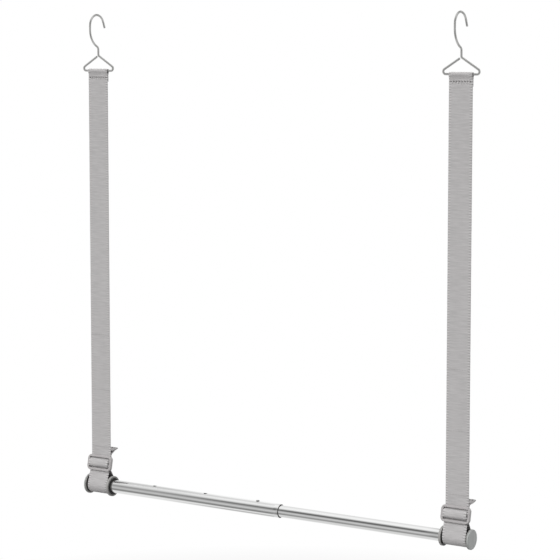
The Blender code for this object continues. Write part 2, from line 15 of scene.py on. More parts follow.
import bmesh
import bpy
import numpy as np
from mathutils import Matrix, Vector


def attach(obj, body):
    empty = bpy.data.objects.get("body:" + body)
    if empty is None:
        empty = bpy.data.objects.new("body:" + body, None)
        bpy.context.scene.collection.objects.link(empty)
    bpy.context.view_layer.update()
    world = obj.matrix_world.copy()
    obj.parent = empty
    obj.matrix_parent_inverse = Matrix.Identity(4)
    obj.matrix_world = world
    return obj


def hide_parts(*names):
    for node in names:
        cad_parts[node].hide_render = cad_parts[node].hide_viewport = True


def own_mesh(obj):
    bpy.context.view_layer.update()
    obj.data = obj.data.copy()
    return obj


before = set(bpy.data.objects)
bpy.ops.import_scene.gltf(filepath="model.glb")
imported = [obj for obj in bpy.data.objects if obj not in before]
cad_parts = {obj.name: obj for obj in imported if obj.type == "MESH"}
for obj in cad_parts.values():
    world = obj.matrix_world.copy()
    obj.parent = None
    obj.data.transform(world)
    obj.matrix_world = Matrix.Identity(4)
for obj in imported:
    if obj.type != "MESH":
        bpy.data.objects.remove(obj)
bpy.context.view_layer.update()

# %% [markdown]
# ## The camera
#
# The photograph was taken from the front and from the right, a little above the middle of the object. The
# lens is long, so the two straps are nearly the same width although one is further away. The two straps
# stay upright in the picture, which a lens that is shifted down gives, where a tilted one would not.

# %% The camera
EYE = Vector((2.04516, -2.63511, -0.04269))
AIM = Vector((0.3573, 0.0033, -0.3450))

lens = bpy.data.cameras.new("camera")
lens.sensor_width = 36
lens.lens = 128.49
lens.shift_y = -0.0804
camera = bpy.data.objects.new("camera", lens)
bpy.context.scene.collection.objects.link(camera)
camera.location = EYE
camera.rotation_euler = (AIM - EYE).to_track_quat("-Z", "Y").to_euler()
bpy.context.scene.camera = camera
print("camera", round((AIM - EYE).length, 3), "m away")

# %% [markdown]
# ## The sizes
#
# These are the CAD model's own sizes, in metres. The surfaces below are worked out from them again, with
# far more points than the CAD solids need. X runs along the rod to the right, Y to the back and Z up. The
# origin is inside the top of the left hook.

# %% The sizes
DEPTH = 0.0033  # the hems and the rod lie this far behind the hooks' crowns
HEM_Z, ROD_Z = -0.090, -0.7875  # axes of the triangles' bars and of the rod
GAP = 0.0003  # between pieces that touch

WIRE = 0.00175  # radius
STRAP_WIDTH, STRAP = 0.040, 0.0013  # width and thickness
LAYER = STRAP + GAP
STRAP_Y = -LAYER / 2

OUTER_TUBE, OUTER_BORE = 0.0110, 0.0099  # radii
INNER_TUBE, INNER_BORE = 0.0095, 0.0086
HOLE = 0.00305  # radius
BUTTON_X = 0.315
HOLES_X = (0.029, 0.111, 0.213, BUTTON_X)

STRAP_HALF = STRAP_WIDTH / 2 + 0.0008
MOUTH, RECESS_FLOOR = -STRAP_HALF - 0.004, -STRAP_HALF - 0.001  # of a spool, along the rod
RECESS_RIM = 0.003
OUTER_FACE = STRAP_WIDTH / 2 + 0.0020  # of the thin flange at a spool's outer end
CAP_SEAT = OUTER_FACE + 0.0012
SPIGOT_END = CAP_SEAT - 0.0085
SOCKET_STOP = SPIGOT_END - 0.0019  # the step that a tube's end is pushed up to
SPIGOT_STEP = 0.002  # a cap's spigot is this much smaller than the tube
TUBE_END = SOCKET_STOP - GAP
SOCKET_WALL, LIP = 0.0011, 0.0029  # plastic round the tube, and a flange above the strap
BUCKLE_ROOM = 0.0088  # between a flange and the buckle

BUCKLE_TILT = radians(12)
BUCKLE = 0.0034  # thickness
BUCKLE_SLOT = 2 * LAYER + 0.0028
MIDDLE_BAR, END_BAR = 0.006, 0.004  # heights of its bars
BUCKLE_WINDOW = 2 * STRAP_HALF
BUCKLE_WIDTH = BUCKLE_WINDOW + 0.0074
BUCKLE_HEIGHT = MIDDLE_BAR + 2 * (BUCKLE_SLOT + END_BAR)
BUCKLE_DEPTH = BUCKLE_HEIGHT / 2 * np.sin(BUCKLE_TILT) + BUCKLE / 2 * np.cos(BUCKLE_TILT)  # behind its middle
BUCKLE_Y = STRAP_Y - STRAP / 2 - GAP - BUCKLE_DEPTH
print("buckle", round(BUCKLE_WIDTH * 1000, 1), "x", round(BUCKLE_HEIGHT * 1000, 1), "mm")

# %% [markdown]
# ## The two ends
#
# The left end's spool takes the wide tube and the right end's the narrow one, so the right fitting is
# smaller all over. Everything that depends on the tube is kept together for each end.

# %% The two ends
End = namedtuple("End", "side x outwards rod tube core flange buckle_rise")


def end_of(side, x, outwards, rod, tube):
    """The core's radius is the tube's, a gap and the wall. The flange stands one layer and a lip above the
    core, and the buckle hangs above the flange."""
    core = tube + GAP + SOCKET_WALL
    flange = core + LAYER + LIP
    buckle_rise = flange + BUCKLE_ROOM + BUCKLE_HEIGHT / 2 * np.cos(BUCKLE_TILT)
    return End(side, x, outwards, rod, tube, core, flange, buckle_rise)


ENDS = (
    end_of("left", 0.0, -1, "outer_rod", OUTER_TUBE),
    end_of("right", 0.675, 1, "inner_rod", INNER_TUBE),
)
print("flanges", [round(2000 * end.flange, 1) for end in ENDS], "mm across")

# %% [markdown]
# ## Lines in a plane
#
# Nearly every piece here is a line carried round or along something: bent wire, folded webbing, turned
# plastic. Each line is made of straight stretches and arcs. `rounded` takes the corners as a maker would
# mark them out, each with the radius of its bend.

# %% Lines in a plane
ARC_STEP = radians(5)


def unit(vector):
    """A vector divided by its own length."""
    return vector / np.linalg.norm(vector)


def arc(centre, radius, start, end):
    """The centre plus the radius times (cos, sin) of an angle that goes from start to end in even steps."""
    angle = np.linspace(start, end, max(3, ceil(abs(end - start) / ARC_STEP) + 1))
    return centre + radius * np.column_stack((np.cos(angle), np.sin(angle)))


def rounded(corners, closed=False):
    """A line through (x, y, radius) corners. An arc begins radius * tan(half the turn) before its
    corner."""
    spots = np.array([corner[:2] for corner in corners], float)
    stretches = []
    for i, (_, _, radius) in enumerate(corners):
        if radius == 0 or (not closed and i in (0, len(corners) - 1)):
            stretches.append(spots[i : i + 1])
            continue
        into = unit(spots[i] - spots[i - 1])
        out = unit(spots[(i + 1) % len(spots)] - spots[i])
        turn = atan2(into[0] * out[1] - into[1] * out[0], into @ out)
        start = spots[i] - into * radius * tan(abs(turn) / 2)
        centre = start + np.sign(turn) * radius * np.array((-into[1], into[0]))
        first = atan2(start[1] - centre[1], start[0] - centre[0])
        stretches.append(arc(centre, radius, first, first + turn))
    line = np.vstack(stretches)
    return np.vstack((line, line[:1])) if closed else line


def belt(centre, radius, arriving, leaving):
    """The arc of a belt from one point, anticlockwise round a circle, to another. It starts and ends where
    the straight stretch touches: acos(radius / distance) from the direction of that point."""
    toward, away = arriving - centre, leaving - centre
    start = atan2(toward[1], toward[0]) + acos(radius / np.linalg.norm(toward))
    end = atan2(away[1], away[0]) - acos(radius / np.linalg.norm(away))
    return arc(centre, radius, start, end + 2 * pi * ceil((start - end) / (2 * pi)))


def directions(line):
    """Each point's direction along a line: the step between its two neighbours, divided by that step's
    length."""
    step = np.gradient(line, axis=0)
    return step / np.linalg.norm(step, axis=1, keepdims=True)


def crossing(point, heading, other, other_heading):
    """Where two lines meet: the first point plus the share of its heading that reaches the other line."""
    share = np.linalg.solve(np.column_stack((heading, -other_heading)), other - point)[0]
    return point + share * heading


def even(line, spacing):
    """The same line with its points at an even spacing, and each point's distance along it."""
    run = np.r_[0, np.cumsum(np.linalg.norm(np.diff(line, axis=0), axis=1))]
    along = np.linspace(0, run[-1], ceil(run[-1] / spacing) + 1)
    return np.column_stack([np.interp(along, run, axis) for axis in line.T]), along


print("a quarter bend of 6 mm has", len(arc(np.zeros(2), 0.006, 0, pi / 2)), "points")

# %% [markdown]
# ## From a grid to a piece
#
# A surface is a grid of points: rows along it, columns across it. `piece` joins each point to its
# neighbours with four-sided faces, welds the rows and columns that meet (the seam of a tube, the tip of a
# dome), turns all faces outwards and puts the piece on the CAD body that it moves with. Shading is smooth,
# apart from edges sharper than 35 degrees.

# %% From a grid to a piece
WELD = 1e-6


def faces_of(rows, columns, first):
    """Each face joins four neighbours on a grid whose points are numbered row by row from first."""
    number = first + np.arange(rows * columns).reshape(rows, columns)
    sides = (number[:-1, :-1], number[1:, :-1], number[1:, 1:], number[:-1, 1:])
    return np.stack(sides, axis=-1).reshape(-1, 4)


def piece(name, grids, body, nodes, patterns=None):
    """One mesh from grids of points, each of shape (rows, columns, 3). Patterns are grids of two values,
    one for each grid, which become its UV map: centimetres (across, along) on cloth, and (painted shade, 0)
    on the spools."""
    firsts = np.cumsum([0] + [grid.shape[0] * grid.shape[1] for grid in grids])
    points = np.concatenate([grid.reshape(-1, 3) for grid in grids])
    faces = np.concatenate([faces_of(*grid.shape[:2], first) for grid, first in zip(grids, firsts)])
    mesh = bpy.data.meshes.new(name)
    mesh.from_pydata(points, [], faces)
    if patterns:
        flat = np.concatenate([pattern.reshape(-1, 2) for pattern in patterns])
        mesh.uv_layers.new(name="pattern").data.foreach_set("uv", flat[faces.ravel()].ravel())
    bm = bmesh.new()
    bm.from_mesh(mesh)
    bmesh.ops.remove_doubles(bm, verts=bm.verts, dist=WELD)
    bmesh.ops.recalc_face_normals(bm, faces=bm.faces)
    bm.to_mesh(mesh)
    bm.free()
    mesh.shade_smooth()
    mesh.set_sharp_from_angle(angle=radians(35))
    made = bpy.data.objects.new(name, mesh)
    bpy.context.scene.collection.objects.link(made)
    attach(made, body)
    if nodes:
        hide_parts(*nodes)
    print(name, len(mesh.polygons), "faces")
    return made


# %% [markdown]
# ## The wire hooks
#
# Each hook is one bent wire. Its foot is a triangle, which goes through the strap's sewn hem, and the
# wire's free end stops beside the triangle's top. There the wire turns up into a stem, leans to the front
# and goes over the closet's rod as an open crown. A circle is carried along the wire's middle line. The
# triangle lies in one plane and the crown in another, so each point's sideways directions come from its
# plane: no twist is left to chance.

# %% The hooks' middle line
BORE = 0.0165  # radius inside the crown
APEX_Z, STEM_TOP = HEM_Z + 0.025, HEM_Z + 0.0345
ROUNDED_END = 0.6 * WIRE  # what the wire's rounded ends add to its line
FOOT_BEND, FOOT_REACH = 0.004, 0.006  # the triangle's lower bends, and how far they lie past the strap


def triangle_line():
    """(x, z) from the free end, down the left slope, along the bar, up the right slope and up the stem."""
    apex = np.array((0, APEX_Z))
    foot = np.array((STRAP_WIDTH / 2 + FOOT_REACH, HEM_Z + FOOT_BEND))
    reach = apex - foot
    tangent = atan2(reach[1], reach[0]) - acos(FOOT_BEND / np.linalg.norm(reach))
    right = arc(foot, FOOT_BEND, -pi / 2, tangent)
    left = right[::-1] * (-1, 1)
    free_end = apex + unit(left[0] - apex) * (2 * WIRE + GAP)
    up = rounded([(*right[-1], 0), (*apex, 0.003), (0, STEM_TOP, 0)])
    return np.vstack((free_end, left, right[:-1], up))


def crown_line():
    """(y, z) from the stem's top round the neck, up the front leg, over the crown and down to the tip."""
    radius = BORE + WIRE
    neck_radius, straight, lift, tip_length = 0.006, 0.006, radians(22), 0.011
    forward, climb = radius + DEPTH, -BORE - straight - STEM_TOP
    leg_radius = (forward**2 + climb**2) / (2 * forward) - neck_radius
    neck = np.array((DEPTH - neck_radius, STEM_TOP))
    leg = np.array((leg_radius - radius, -BORE - straight))
    meeting = atan2(leg[1] - neck[1], leg[0] - neck[0])
    over = arc(np.array((0, -BORE)), radius, pi, lift)
    tip = over[-1] + (tip_length - ROUNDED_END) * np.array((np.sin(lift), -np.cos(lift)))
    bends = arc(neck, neck_radius, 0, meeting), arc(leg, leg_radius, pi + meeting, pi)[1:]
    return np.vstack((*bends, over, tip))


low, high = even(triangle_line(), 0.0008)[0], even(crown_line(), 0.0008)[0][1:]
print("wire", round(0.0008 * (len(low) + len(high)), 3), "m long")

# %% The hooks


def round_wire(line, side, radius):
    """line + radius * shrink * (cos a * side + sin a * across), where across stands on the line and on
    side. At both ends, shrink falls to 0 along a quarter circle, which rounds the wire off."""
    heading = directions(line)
    across = np.cross(heading, side)
    across /= np.linalg.norm(across, axis=1, keepdims=True)
    lean = np.cross(across, heading)
    close = np.linspace(pi / 2, 0, 6)[:-1]
    reach = np.r_[-np.sin(close), np.zeros(len(line)), np.sin(close[::-1])] * ROUNDED_END
    shrink = np.r_[np.cos(close), np.ones(len(line)), np.cos(close[::-1])]
    pick = np.r_[np.zeros(5, int), np.arange(len(line)), np.full(5, len(line) - 1)]
    angle = np.linspace(0, 2 * pi, 21)
    middle = line[pick] + reach[:, None] * heading[pick]
    ring = np.cos(angle)[:, None] * lean[pick][:, None] + np.sin(angle)[:, None] * across[pick][:, None]
    return middle[:, None] + radius * shrink[:, None, None] * ring


wire_line = np.vstack(
    (
        np.column_stack((low[:, 0], np.full(len(low), DEPTH), low[:, 1])),
        np.column_stack((np.zeros(len(high)), high)),
    )
)
heading = directions(low)
in_triangle = np.column_stack((heading[:, 1], np.zeros(len(low)), -heading[:, 0]))
wire_side = np.vstack((in_triangle, np.tile((1.0, 0, 0), (len(high), 1))))
hook_grid = round_wire(wire_line, wire_side, WIRE)
hooks = []
for end in ENDS:
    name, node = f"{end.side}_wire_hook", f"{end.side}_hook"
    hooks.append(piece(name, [hook_grid + (end.x, 0, 0)], node, [node]))

# %% [markdown]
# ## The webbing
#
# Each strap is one length of flat webbing. It is sewn back on itself round the hook's bar, hangs down to
# the buckle, goes over the buckle's middle bar, round the plastic spool on the rod's end, back up over the
# same bar and out to the back as a short tail. The tail's end is folded over and sewn, so that it can't
# slip out of the buckle, and the fold's free edge springs up. Cloth simulation has nothing to add to a
# strap that hangs straight, so the strap's own cross-section is carried along its path: flat, rounded at
# its edges, and with the small bumps along the selvedge that the weft thread leaves where it turns back.
#
# The buckle slides up the strap when the rod is raised, so the strap is three pieces that meet without a
# step. The loop moves with the buckle. The lower web is the part that feeds through the buckle. The upper
# web stays as it is.

# %% The strap's path
MARK_Z = (-0.5310, -0.6247, -0.7215)  # sewn height marks
HEM_CLOSES, HEM_FLAP = 0.006, 0.012  # from the bar to where a hem's layers meet, and on to its end


def in_buckle(end, up, out):
    """(y, z) from the rod's axis of a point this far up the tilted buckle and this far out of its front."""
    lean, stand = np.sin(BUCKLE_TILT), np.cos(BUCKLE_TILT)
    return np.array((BUCKLE_Y + up * lean - out * stand, end.buckle_rise + up * stand + out * lean))


def seam_rise(end):
    """The seam between web and loop lies behind the buckle's top bar, this far above the rod's axis."""
    return in_buckle(end, (BUCKLE_HEIGHT - END_BAR) / 2, 0)[1]


def web_line(end):
    """(y, z) from the bar's axis: from the hem's end at the back, over the bar and down to the buckle."""
    back, front = np.array((-STRAP_Y, -HEM_CLOSES)), np.array((STRAP_Y, -HEM_CLOSES))
    over = belt(np.zeros(2), WIRE + GAP + STRAP / 2, back, front)
    foot = np.array((STRAP_Y, ROD_Z - HEM_Z + seam_rise(end) + GAP / 2))
    return np.vstack((back - (0, HEM_FLAP), back, over, front, foot))


def beside(line, distance):
    """The corners of a line that keeps this distance to the right of a line of straight stretches."""
    ways = [unit(b - a) for a, b in zip(line, line[1:])]
    shifts = [distance * np.array((way[1], -way[0])) for way in ways]
    inner = [
        crossing(line[i] + shifts[i - 1], ways[i - 1], line[i] + shifts[i], ways[i])
        for i in range(1, len(ways))
    ]
    return [line[0] + shifts[0], *inner, line[-1] + shifts[-1]]


# to the back and up: no two tails lie the same
TAILS = {"left": (0.0105, 0.0055), "right": (0.0135, 0.0010)}
TAIL_BEND = 0.0022  # above the buckle
SEWN_END, FLAP = (0.0078, 0.0016), (-0.0090, LAYER - 0.0008)  # of a tail, both from the start of its sewn end


def tail_corners(end):
    """The tail's bend above the buckle, the start of its sewn end, its tip, the free end of its fold, and
    the way up from the sewn end."""
    bend = np.array((STRAP_Y + LAYER, in_buckle(end, BUCKLE_HEIGHT / 2, 0)[1] + TAIL_BEND))
    hem = bend + TAILS[end.side]
    tip = hem + SEWN_END
    run = unit(tip - hem)
    return bend, hem, tip, hem + FLAP, np.array((-run[1], run[0]))


def loop_line(end):
    """(y, z) from the rod's axis: over the buckle's middle bar, round the spool, over the bar again and out
    as the tail, whose end is folded over and stands open. The way back lies one layer inside the way
    down."""
    middle = (MIDDLE_BAR + BUCKLE_SLOT) / 2
    drop, over = middle + 1.2 * LAYER, middle - 0.7 * LAYER
    on_bar = BUCKLE / 2 + GAP + STRAP / 2
    front, behind = on_bar + LAYER, on_bar + LAYER / 2
    seam = np.array((STRAP_Y, seam_rise(end) - GAP / 2))
    slot = in_buckle(end, drop, 0)
    entry = crossing(seam, np.array((0.0, -1)), slot, in_buckle(end, drop, 1) - slot)
    on_front = [in_buckle(end, over, front), in_buckle(end, -over, front)]
    down = [seam, entry, *on_front, in_buckle(end, -drop, -behind)]
    back = beside(down, -LAYER)
    spool = belt(np.zeros(2), end.core + GAP + STRAP / 2, down[-1], back[-1])
    roll = 0.003  # bend of the inner layer over the bar
    wide = STRAP / 2 + 0.00075 + LAYER
    bend, hem, tip, flap, up = tail_corners(end)
    fold = up * LAYER
    way_down = rounded(
        [
            (*down[0], 0),
            (*down[1], wide),
            (*down[2], roll + LAYER),
            (*down[3], roll + LAYER),
            (*down[4], wide),
            (*spool[0], 0),
        ]
    )
    way_back = rounded(
        [
            (*spool[-1], 0),
            (*back[4], wide),
            (*back[3], roll),
            (*back[2], roll),
            (*back[1], wide + LAYER),
            (*bend, 0.0045),
            (*hem, 0.005),
            (*tip, 0.49 * LAYER),
            (*(tip + fold), 0.49 * LAYER),
            (*(hem + fold), 0.005),
            (*flap, 0),
        ]
    )
    return np.vstack((way_down[:-1], spool, way_back[1:]))


for end in ENDS:
    lengths = [even(line, 0.001)[1][-1] for line in (web_line(end), loop_line(end))]
    print(end.side, "webbing", round(sum(lengths), 3), "m")

# %% The straps
SELVEDGE = 0.0040  # from one bump of the edge to the next


def webbing(line, run, x):
    """(x + half width * q * edge, line + normal * side * thickness(q)), where q goes across the strap from
    -1 to 1, thickness is half the strap's times the root of 1 - q^20, and edge draws in a little between
    two bumps."""
    heading = directions(line)
    normal = np.column_stack((-heading[:, 1], heading[:, 0]))
    step = np.linspace(-1, 1, 25)
    q = np.sign(step) * (1 - (1 - np.abs(step)) ** 2)
    q = np.r_[q, q[-2::-1]]
    side = np.r_[np.ones(25), -np.ones(24)] * np.sqrt(np.clip(1 - np.abs(q) ** 20, 0, 1))
    wave = 0.5 - 0.5 * np.cos(2 * pi * run / SELVEDGE)
    edge = 1 - 0.013 * wave[:, None] * np.abs(q) ** 30
    across = STRAP_WIDTH / 2 * q * edge
    flat = line[:, None] + normal[:, None] * (STRAP / 2 * side)[:, None]
    grid = np.concatenate(((x + across)[..., None], flat), axis=2)
    pattern = np.stack(np.broadcast_arrays(100 * STRAP_WIDTH / 2 * q, 100 * run[:, None]), axis=-1)
    start, end = grid[:1] * 0 + grid[0].mean(axis=0), grid[:1] * 0 + grid[-1].mean(axis=0)
    return np.concatenate((start, grid, end)), np.concatenate((pattern[:1], pattern, pattern[-1:]))


STRAPS, CUTS = [], {}
for end in ENDS:
    body, node = f"{end.side}_strap", f"{end.side}_strap_web"
    web, run = even(web_line(end) + (DEPTH, HEM_Z), 0.0008)
    mark = int(np.argmax((web[:, 1] < MARK_Z[0]) & (run > 0.05)))
    upper, upper_cloth = webbing(web[: mark + 1], run[: mark + 1], end.x)
    lower, lower_cloth = webbing(web[mark:], run[mark:], end.x)
    loop, loop_run = even(loop_line(end) + (DEPTH, ROD_Z), 0.0005)
    turns, turns_cloth = webbing(loop, loop_run + run[-1], end.x)
    STRAPS.append(piece(f"{end.side}_web_upper", [upper], body, [node], [upper_cloth]))
    STRAPS.append(piece(f"{end.side}_web_lower", [lower], body, [node], [lower_cloth]))
    slider, loop_node = f"{end.side}_slider", f"{end.side}_strap_loop"
    STRAPS.append(piece(f"{end.side}_loop", [turns], slider, [loop_node], [turns_cloth]))
    CUTS[end.side] = float(run[mark]), float(run[-1] - run[mark]), float(loop_run[-1]), float(web[mark, 1])

# %% [markdown]
# ## The thread
#
# A row of stitches holds each hem, another holds the tail's folded end, and three rows across each strap
# mark the heights at which the two sides are level. A stitch is a short piece of thread that comes up out
# of the cloth, lies on it at a slant and goes down again. At the hems the thread from the other side shows
# as pale dots between the stitches. The height marks are sewn in the webbing's own grey, so they hardly
# show.

# %% The thread
THREAD = 0.0005  # radius
HEAVY = 0.0008  # radius at the hems
STITCH = 0.0046  # from one stitch to the next
HEM_ROW, DOT_ROW = 0.0105, 0.0125  # below the bar


def stitches(x, face, normal, count, share, thread):
    """One small wire for each stitch. Along a stitch, s goes from -1 to 1: the thread's middle runs share *
    pitch * s across the strap, slants by radius * s and lies radius * (1.1 * (1 - s^4) - 0.5) above the
    cloth. The thread's own radius shrinks by the root of 1 - s^6, so it closes to a point at both ends."""
    middle = (np.arange(count) - (count - 1) / 2) * STITCH
    s = np.linspace(-1, 1, 7)
    shrink = np.sqrt(np.clip(1 - s**6, 0, 1))
    angle = np.linspace(0, 2 * pi, 9)
    rise = thread * (1.1 * (1 - s**4) - 0.5)
    out = rise[:, None] + thread * shrink[:, None] * np.cos(angle)
    over = thread * (shrink[:, None] * np.sin(angle) + s[:, None])
    along = np.array((-normal[1], normal[0]))
    flat = face + out[..., None] * normal + over[..., None] * along
    spot = x + middle[:, None, None] + share * STITCH * s[:, None] + 0 * out
    return list(np.concatenate((spot[..., None], np.broadcast_to(flat, (count, 7, 9, 2))), axis=3))


def rows_across(x, z, count=8, share=0.32, thread=THREAD):
    """The same row on both faces of the strap, and at the back of a hem's second layer where there is
    one."""
    front, back = np.array((-1.0, 0)), np.array((1.0, 0))
    hem = z > HEM_Z - HEM_CLOSES - HEM_FLAP
    behind = (-STRAP_Y if hem else STRAP_Y) + STRAP / 2
    rows = stitches(x, np.array((DEPTH + STRAP_Y - STRAP / 2, z)), front, count, share, thread)
    return rows + stitches(x, np.array((DEPTH + behind, z)), back, count, share, thread)


THREADS, DOTS, MARKS, LOW_MARKS = [], [], [], {}
for end in ENDS:
    body, slider, sewn = f"{end.side}_strap", f"{end.side}_slider", f"{end.side}_hem_stitch"
    hem_rows = rows_across(end.x, HEM_Z - HEM_ROW, thread=HEAVY)
    THREADS.append(piece(f"{end.side}_hem_thread", hem_rows, body, [sewn]))
    dots = rows_across(end.x, HEM_Z - DOT_ROW, count=7, share=0.2, thread=HEAVY)
    DOTS.append(piece(f"{end.side}_hem_dots", dots, body, [sewn]))
    _, hem, tip, _, up = tail_corners(end)
    fold_top = tip + 0.45 * (hem - tip) + up * (LAYER + STRAP / 2) + (DEPTH, ROD_Z)
    fold_rows = stitches(end.x, fold_top, up, 8, 0.32, THREAD)
    THREADS.append(piece(f"{end.side}_tail_thread", fold_rows, slider, [f"{end.side}_tail_stitch"]))
    MARKS.append(piece(f"{end.side}_first_mark", rows_across(end.x, MARK_Z[0]), body, []))
    low_rows = rows_across(end.x, MARK_Z[1]) + rows_across(end.x, MARK_Z[2])
    LOW_MARKS[end.side] = piece(f"{end.side}_low_marks", low_rows, body, [])
MARKS += LOW_MARKS.values()

# %% [markdown]
# ## The buckles
#
# The buckle is a flat moulded frame with one bar across its middle. The frame's outer and inner outlines
# have the same number of points, so a rounded cross-section can be carried round between them. The two side
# rails are deeper at the back, beside the strap, which keeps the strap from slipping off sideways. The
# middle bar is a second rounded bar that ends inside the frame.

# %% The buckles


def outline(width, height, radius):
    """A rectangle whose corners are arcs, as (across, up)."""
    w, h = width / 2, height / 2
    return rounded([(w, -h, radius), (w, h, radius), (-w, h, radius), (-w, -h, radius)], closed=True)


def soft_square(steps):
    """(a, b) round a square with soft corners: cos and sin of the angle, each to the power 0.35."""
    angle = np.linspace(0, 2 * pi, steps + 1)
    a, b = np.cos(angle), np.sin(angle)
    return np.sign(a) * np.abs(a) ** 0.35, np.sign(b) * np.abs(b) ** 0.35


def buckle_grids(end):
    """The frame is middle line + a * half width + b * half thickness round each point of the outline, where
    b counts 2.4 times at the back of the side rails. The bar is the same cross-section carried straight
    across."""
    outside = outline(BUCKLE_WIDTH, BUCKLE_HEIGHT, 0.007)
    inside = outline(STRAP_WIDTH + 2 * GAP, MIDDLE_BAR + 2 * BUCKLE_SLOT, 0.001)
    a, b = soft_square(24)
    plane = (outside + inside)[:, None] / 2 + (outside - inside)[:, None] / 2 * a[:, None]
    rail = np.clip((np.abs(plane[..., 0]) - STRAP_WIDTH / 2) / GAP, 0, 1)
    ring = (plane[..., 0], plane[..., 1], BUCKLE / 2 * b * np.where(b < 0, 1 + 1.4 * rail, 1))
    reach = BUCKLE_WINDOW / 2 + 0.002
    along = np.repeat(np.array((-reach, -reach, reach, reach)), 25).reshape(4, 25)
    shrink = np.array((0, 1, 1, 0))[:, None]
    bar = (along, MIDDLE_BAR / 2 * a * shrink, BUCKLE / 2 * 0.98 * b * shrink)
    grids = []
    for across, rise, forth in (ring, bar):
        y = BUCKLE_Y + rise * np.sin(BUCKLE_TILT) - forth * np.cos(BUCKLE_TILT)
        z = end.buckle_rise + rise * np.cos(BUCKLE_TILT) + forth * np.sin(BUCKLE_TILT)
        grids.append(np.stack((end.x + across, y + DEPTH, z + ROD_Z), axis=-1))
    return grids


buckles = []
for end in ENDS:
    name, body = f"{end.side}_slide_buckle", f"{end.side}_slider"
    buckles.append(piece(name, buckle_grids(end), body, [f"{end.side}_buckle"]))

# %% [markdown]
# ## The spools and their fittings
#
# The rod's ends sit in moulded plastic spools. The strap goes round the spool's core between two flanges. A
# disc closes the outer end, and a ring fills the mouth round the tube; its near-black colour is painted
# shade in the mouth's recess. All of them are round, so each is half a cross-section turned about the rod's
# axis, with the small radii that a mould leaves on every edge.

# %% The spools and their fittings


def turned(profile, end):
    """(along, radius * sin a, radius * cos a) round the rod's axis. The profile's outer end faces right on
    the right side, and on the left the whole piece is turned end for end."""
    angle = np.linspace(0, 2 * pi, 97)
    along, radius = profile[:, :1], profile[:, 1:]
    grid = np.stack(np.broadcast_arrays(along, radius * np.sin(angle), radius * np.cos(angle)), axis=-1)
    return grid * (end.outwards, end.outwards, 1) + (end.x, DEPTH, ROD_Z)


EDGE = 0.0007  # radius that the mould leaves
CAP, CAP_WALL, SPIGOT_WALL = 0.0024, 0.002, 0.0014  # a cap's edge, its face's wall and its spigot's
RING = 0.002  # thickness of a mouth's ring


def spool_profile(end):
    """(along, radius) of mouth, flange, core, flange and cap seat, and back along the socket inside."""
    recess, socket, spigot = end.flange - RECESS_RIM, end.tube + GAP, end.tube - SPIGOT_STEP
    return rounded(
        [
            (MOUTH, recess, 0.0003),
            (MOUTH, end.flange, EDGE),
            (-STRAP_HALF, end.flange, EDGE),
            (-STRAP_HALF, end.core, 0.0003),
            (OUTER_FACE, end.core, 0.0003),
            (OUTER_FACE, end.flange, 0.0004),
            (CAP_SEAT, end.flange, 0.0003),
            (CAP_SEAT, spigot + GAP, 0),
            (SOCKET_STOP, spigot + GAP, 0),
            (SOCKET_STOP, socket, 0),
            (RECESS_FLOOR, socket, 0),
            (RECESS_FLOOR, recess, 0),
        ],
        closed=True,
    )


def painted_shade_of(profile, end):
    """1 where shade is painted into the spool's colour, in the strap's groove and in the mouth, half on the
    mouth's face, and 0 on the grey rims."""
    along, radius = profile.T
    groove = (along > -STRAP_HALF - WELD) & (along < OUTER_FACE + WELD) & (radius < end.flange - 0.0004)
    mouth = radius < end.flange - RECESS_RIM + WELD
    face = (along < MOUTH + WELD) & (radius < end.flange - EDGE + WELD)
    shade = np.where(groove | mouth, 1.0, np.where(face, 0.5, 0.0))
    return np.stack(np.broadcast_arrays(shade[:, None], np.zeros(97)), axis=-1)


def cap_profile(end):
    """(along, radius) from the middle of the disc's face, round its edge and along the hollow spigot
    inside."""
    face, spigot = CAP_SEAT + GAP + CAP, end.tube - SPIGOT_STEP
    return rounded(
        [
            (face, 0, 0),
            (face, end.flange, 0.001),
            (CAP_SEAT + GAP, end.flange, 0.0003),
            (CAP_SEAT + GAP, spigot, 0),
            (SPIGOT_END, spigot, 0.0003),
            (SPIGOT_END, spigot - SPIGOT_WALL, 0.0003),
            (face - CAP_WALL, spigot - SPIGOT_WALL, 0),
            (face - CAP_WALL, 0, 0),
        ]
    )


def ring_profile(end):
    """(along, radius) of the plain ring in the recess of the mouth."""
    seat, bore, rim = RECESS_FLOOR - GAP, end.tube + GAP, end.flange - RECESS_RIM - GAP
    corners = [(seat - RING, bore, 0.0003), (seat - RING, rim, 0.0003), (seat, rim, 0), (seat, bore, 0)]
    return rounded(corners, closed=True)


spools, caps, rings = [], [], []
for end in ENDS:
    side = end.side
    profile = spool_profile(end)
    # the UV map carries the shade painted into the spool's groove and mouth
    grid, shade = turned(profile, end), painted_shade_of(profile, end)
    spools.append(piece(f"{side}_rod_spool", [grid], end.rod, [f"{side}_spool"], [shade]))
    grid = turned(cap_profile(end), end)
    caps.append(piece(f"{side}_cap_disc", [grid], end.rod, [f"{side}_end_cap"]))
    grid = turned(ring_profile(end), end)
    rings.append(piece(f"{side}_mouth_ring", [grid], end.rod, [f"{side}_socket_ring"]))

# %% [markdown]
# ## The tubes
#
# The outer tube has a row of lock holes along its top. A Boolean would cut them, but it leaves long thin
# triangles that show in polished chrome. Here the wall is a grid of (along, angle), and round each hole a
# square of that grid gives way to a ring of faces that goes from the square's edge in to the hole's round
# rim.

# %% The tubes
TURNS = 96
PATCH_TURNS = 6  # half a square's side, in steps of the grid
PATCH = 0.0045  # half a square's length along the tube
PAST_BUTTON, BEHIND_BUTTON = 0.044, 0.030  # how far the outer and the inner tube go on beyond the button


def on_tube(along, angle, radius):
    """(along, radius * sin angle, radius * cos angle), with the angle measured from the top."""
    along, angle = np.broadcast_arrays(along, angle)
    return np.stack((along, radius * np.sin(angle) + DEPTH, radius * np.cos(angle) + ROD_Z), axis=-1)


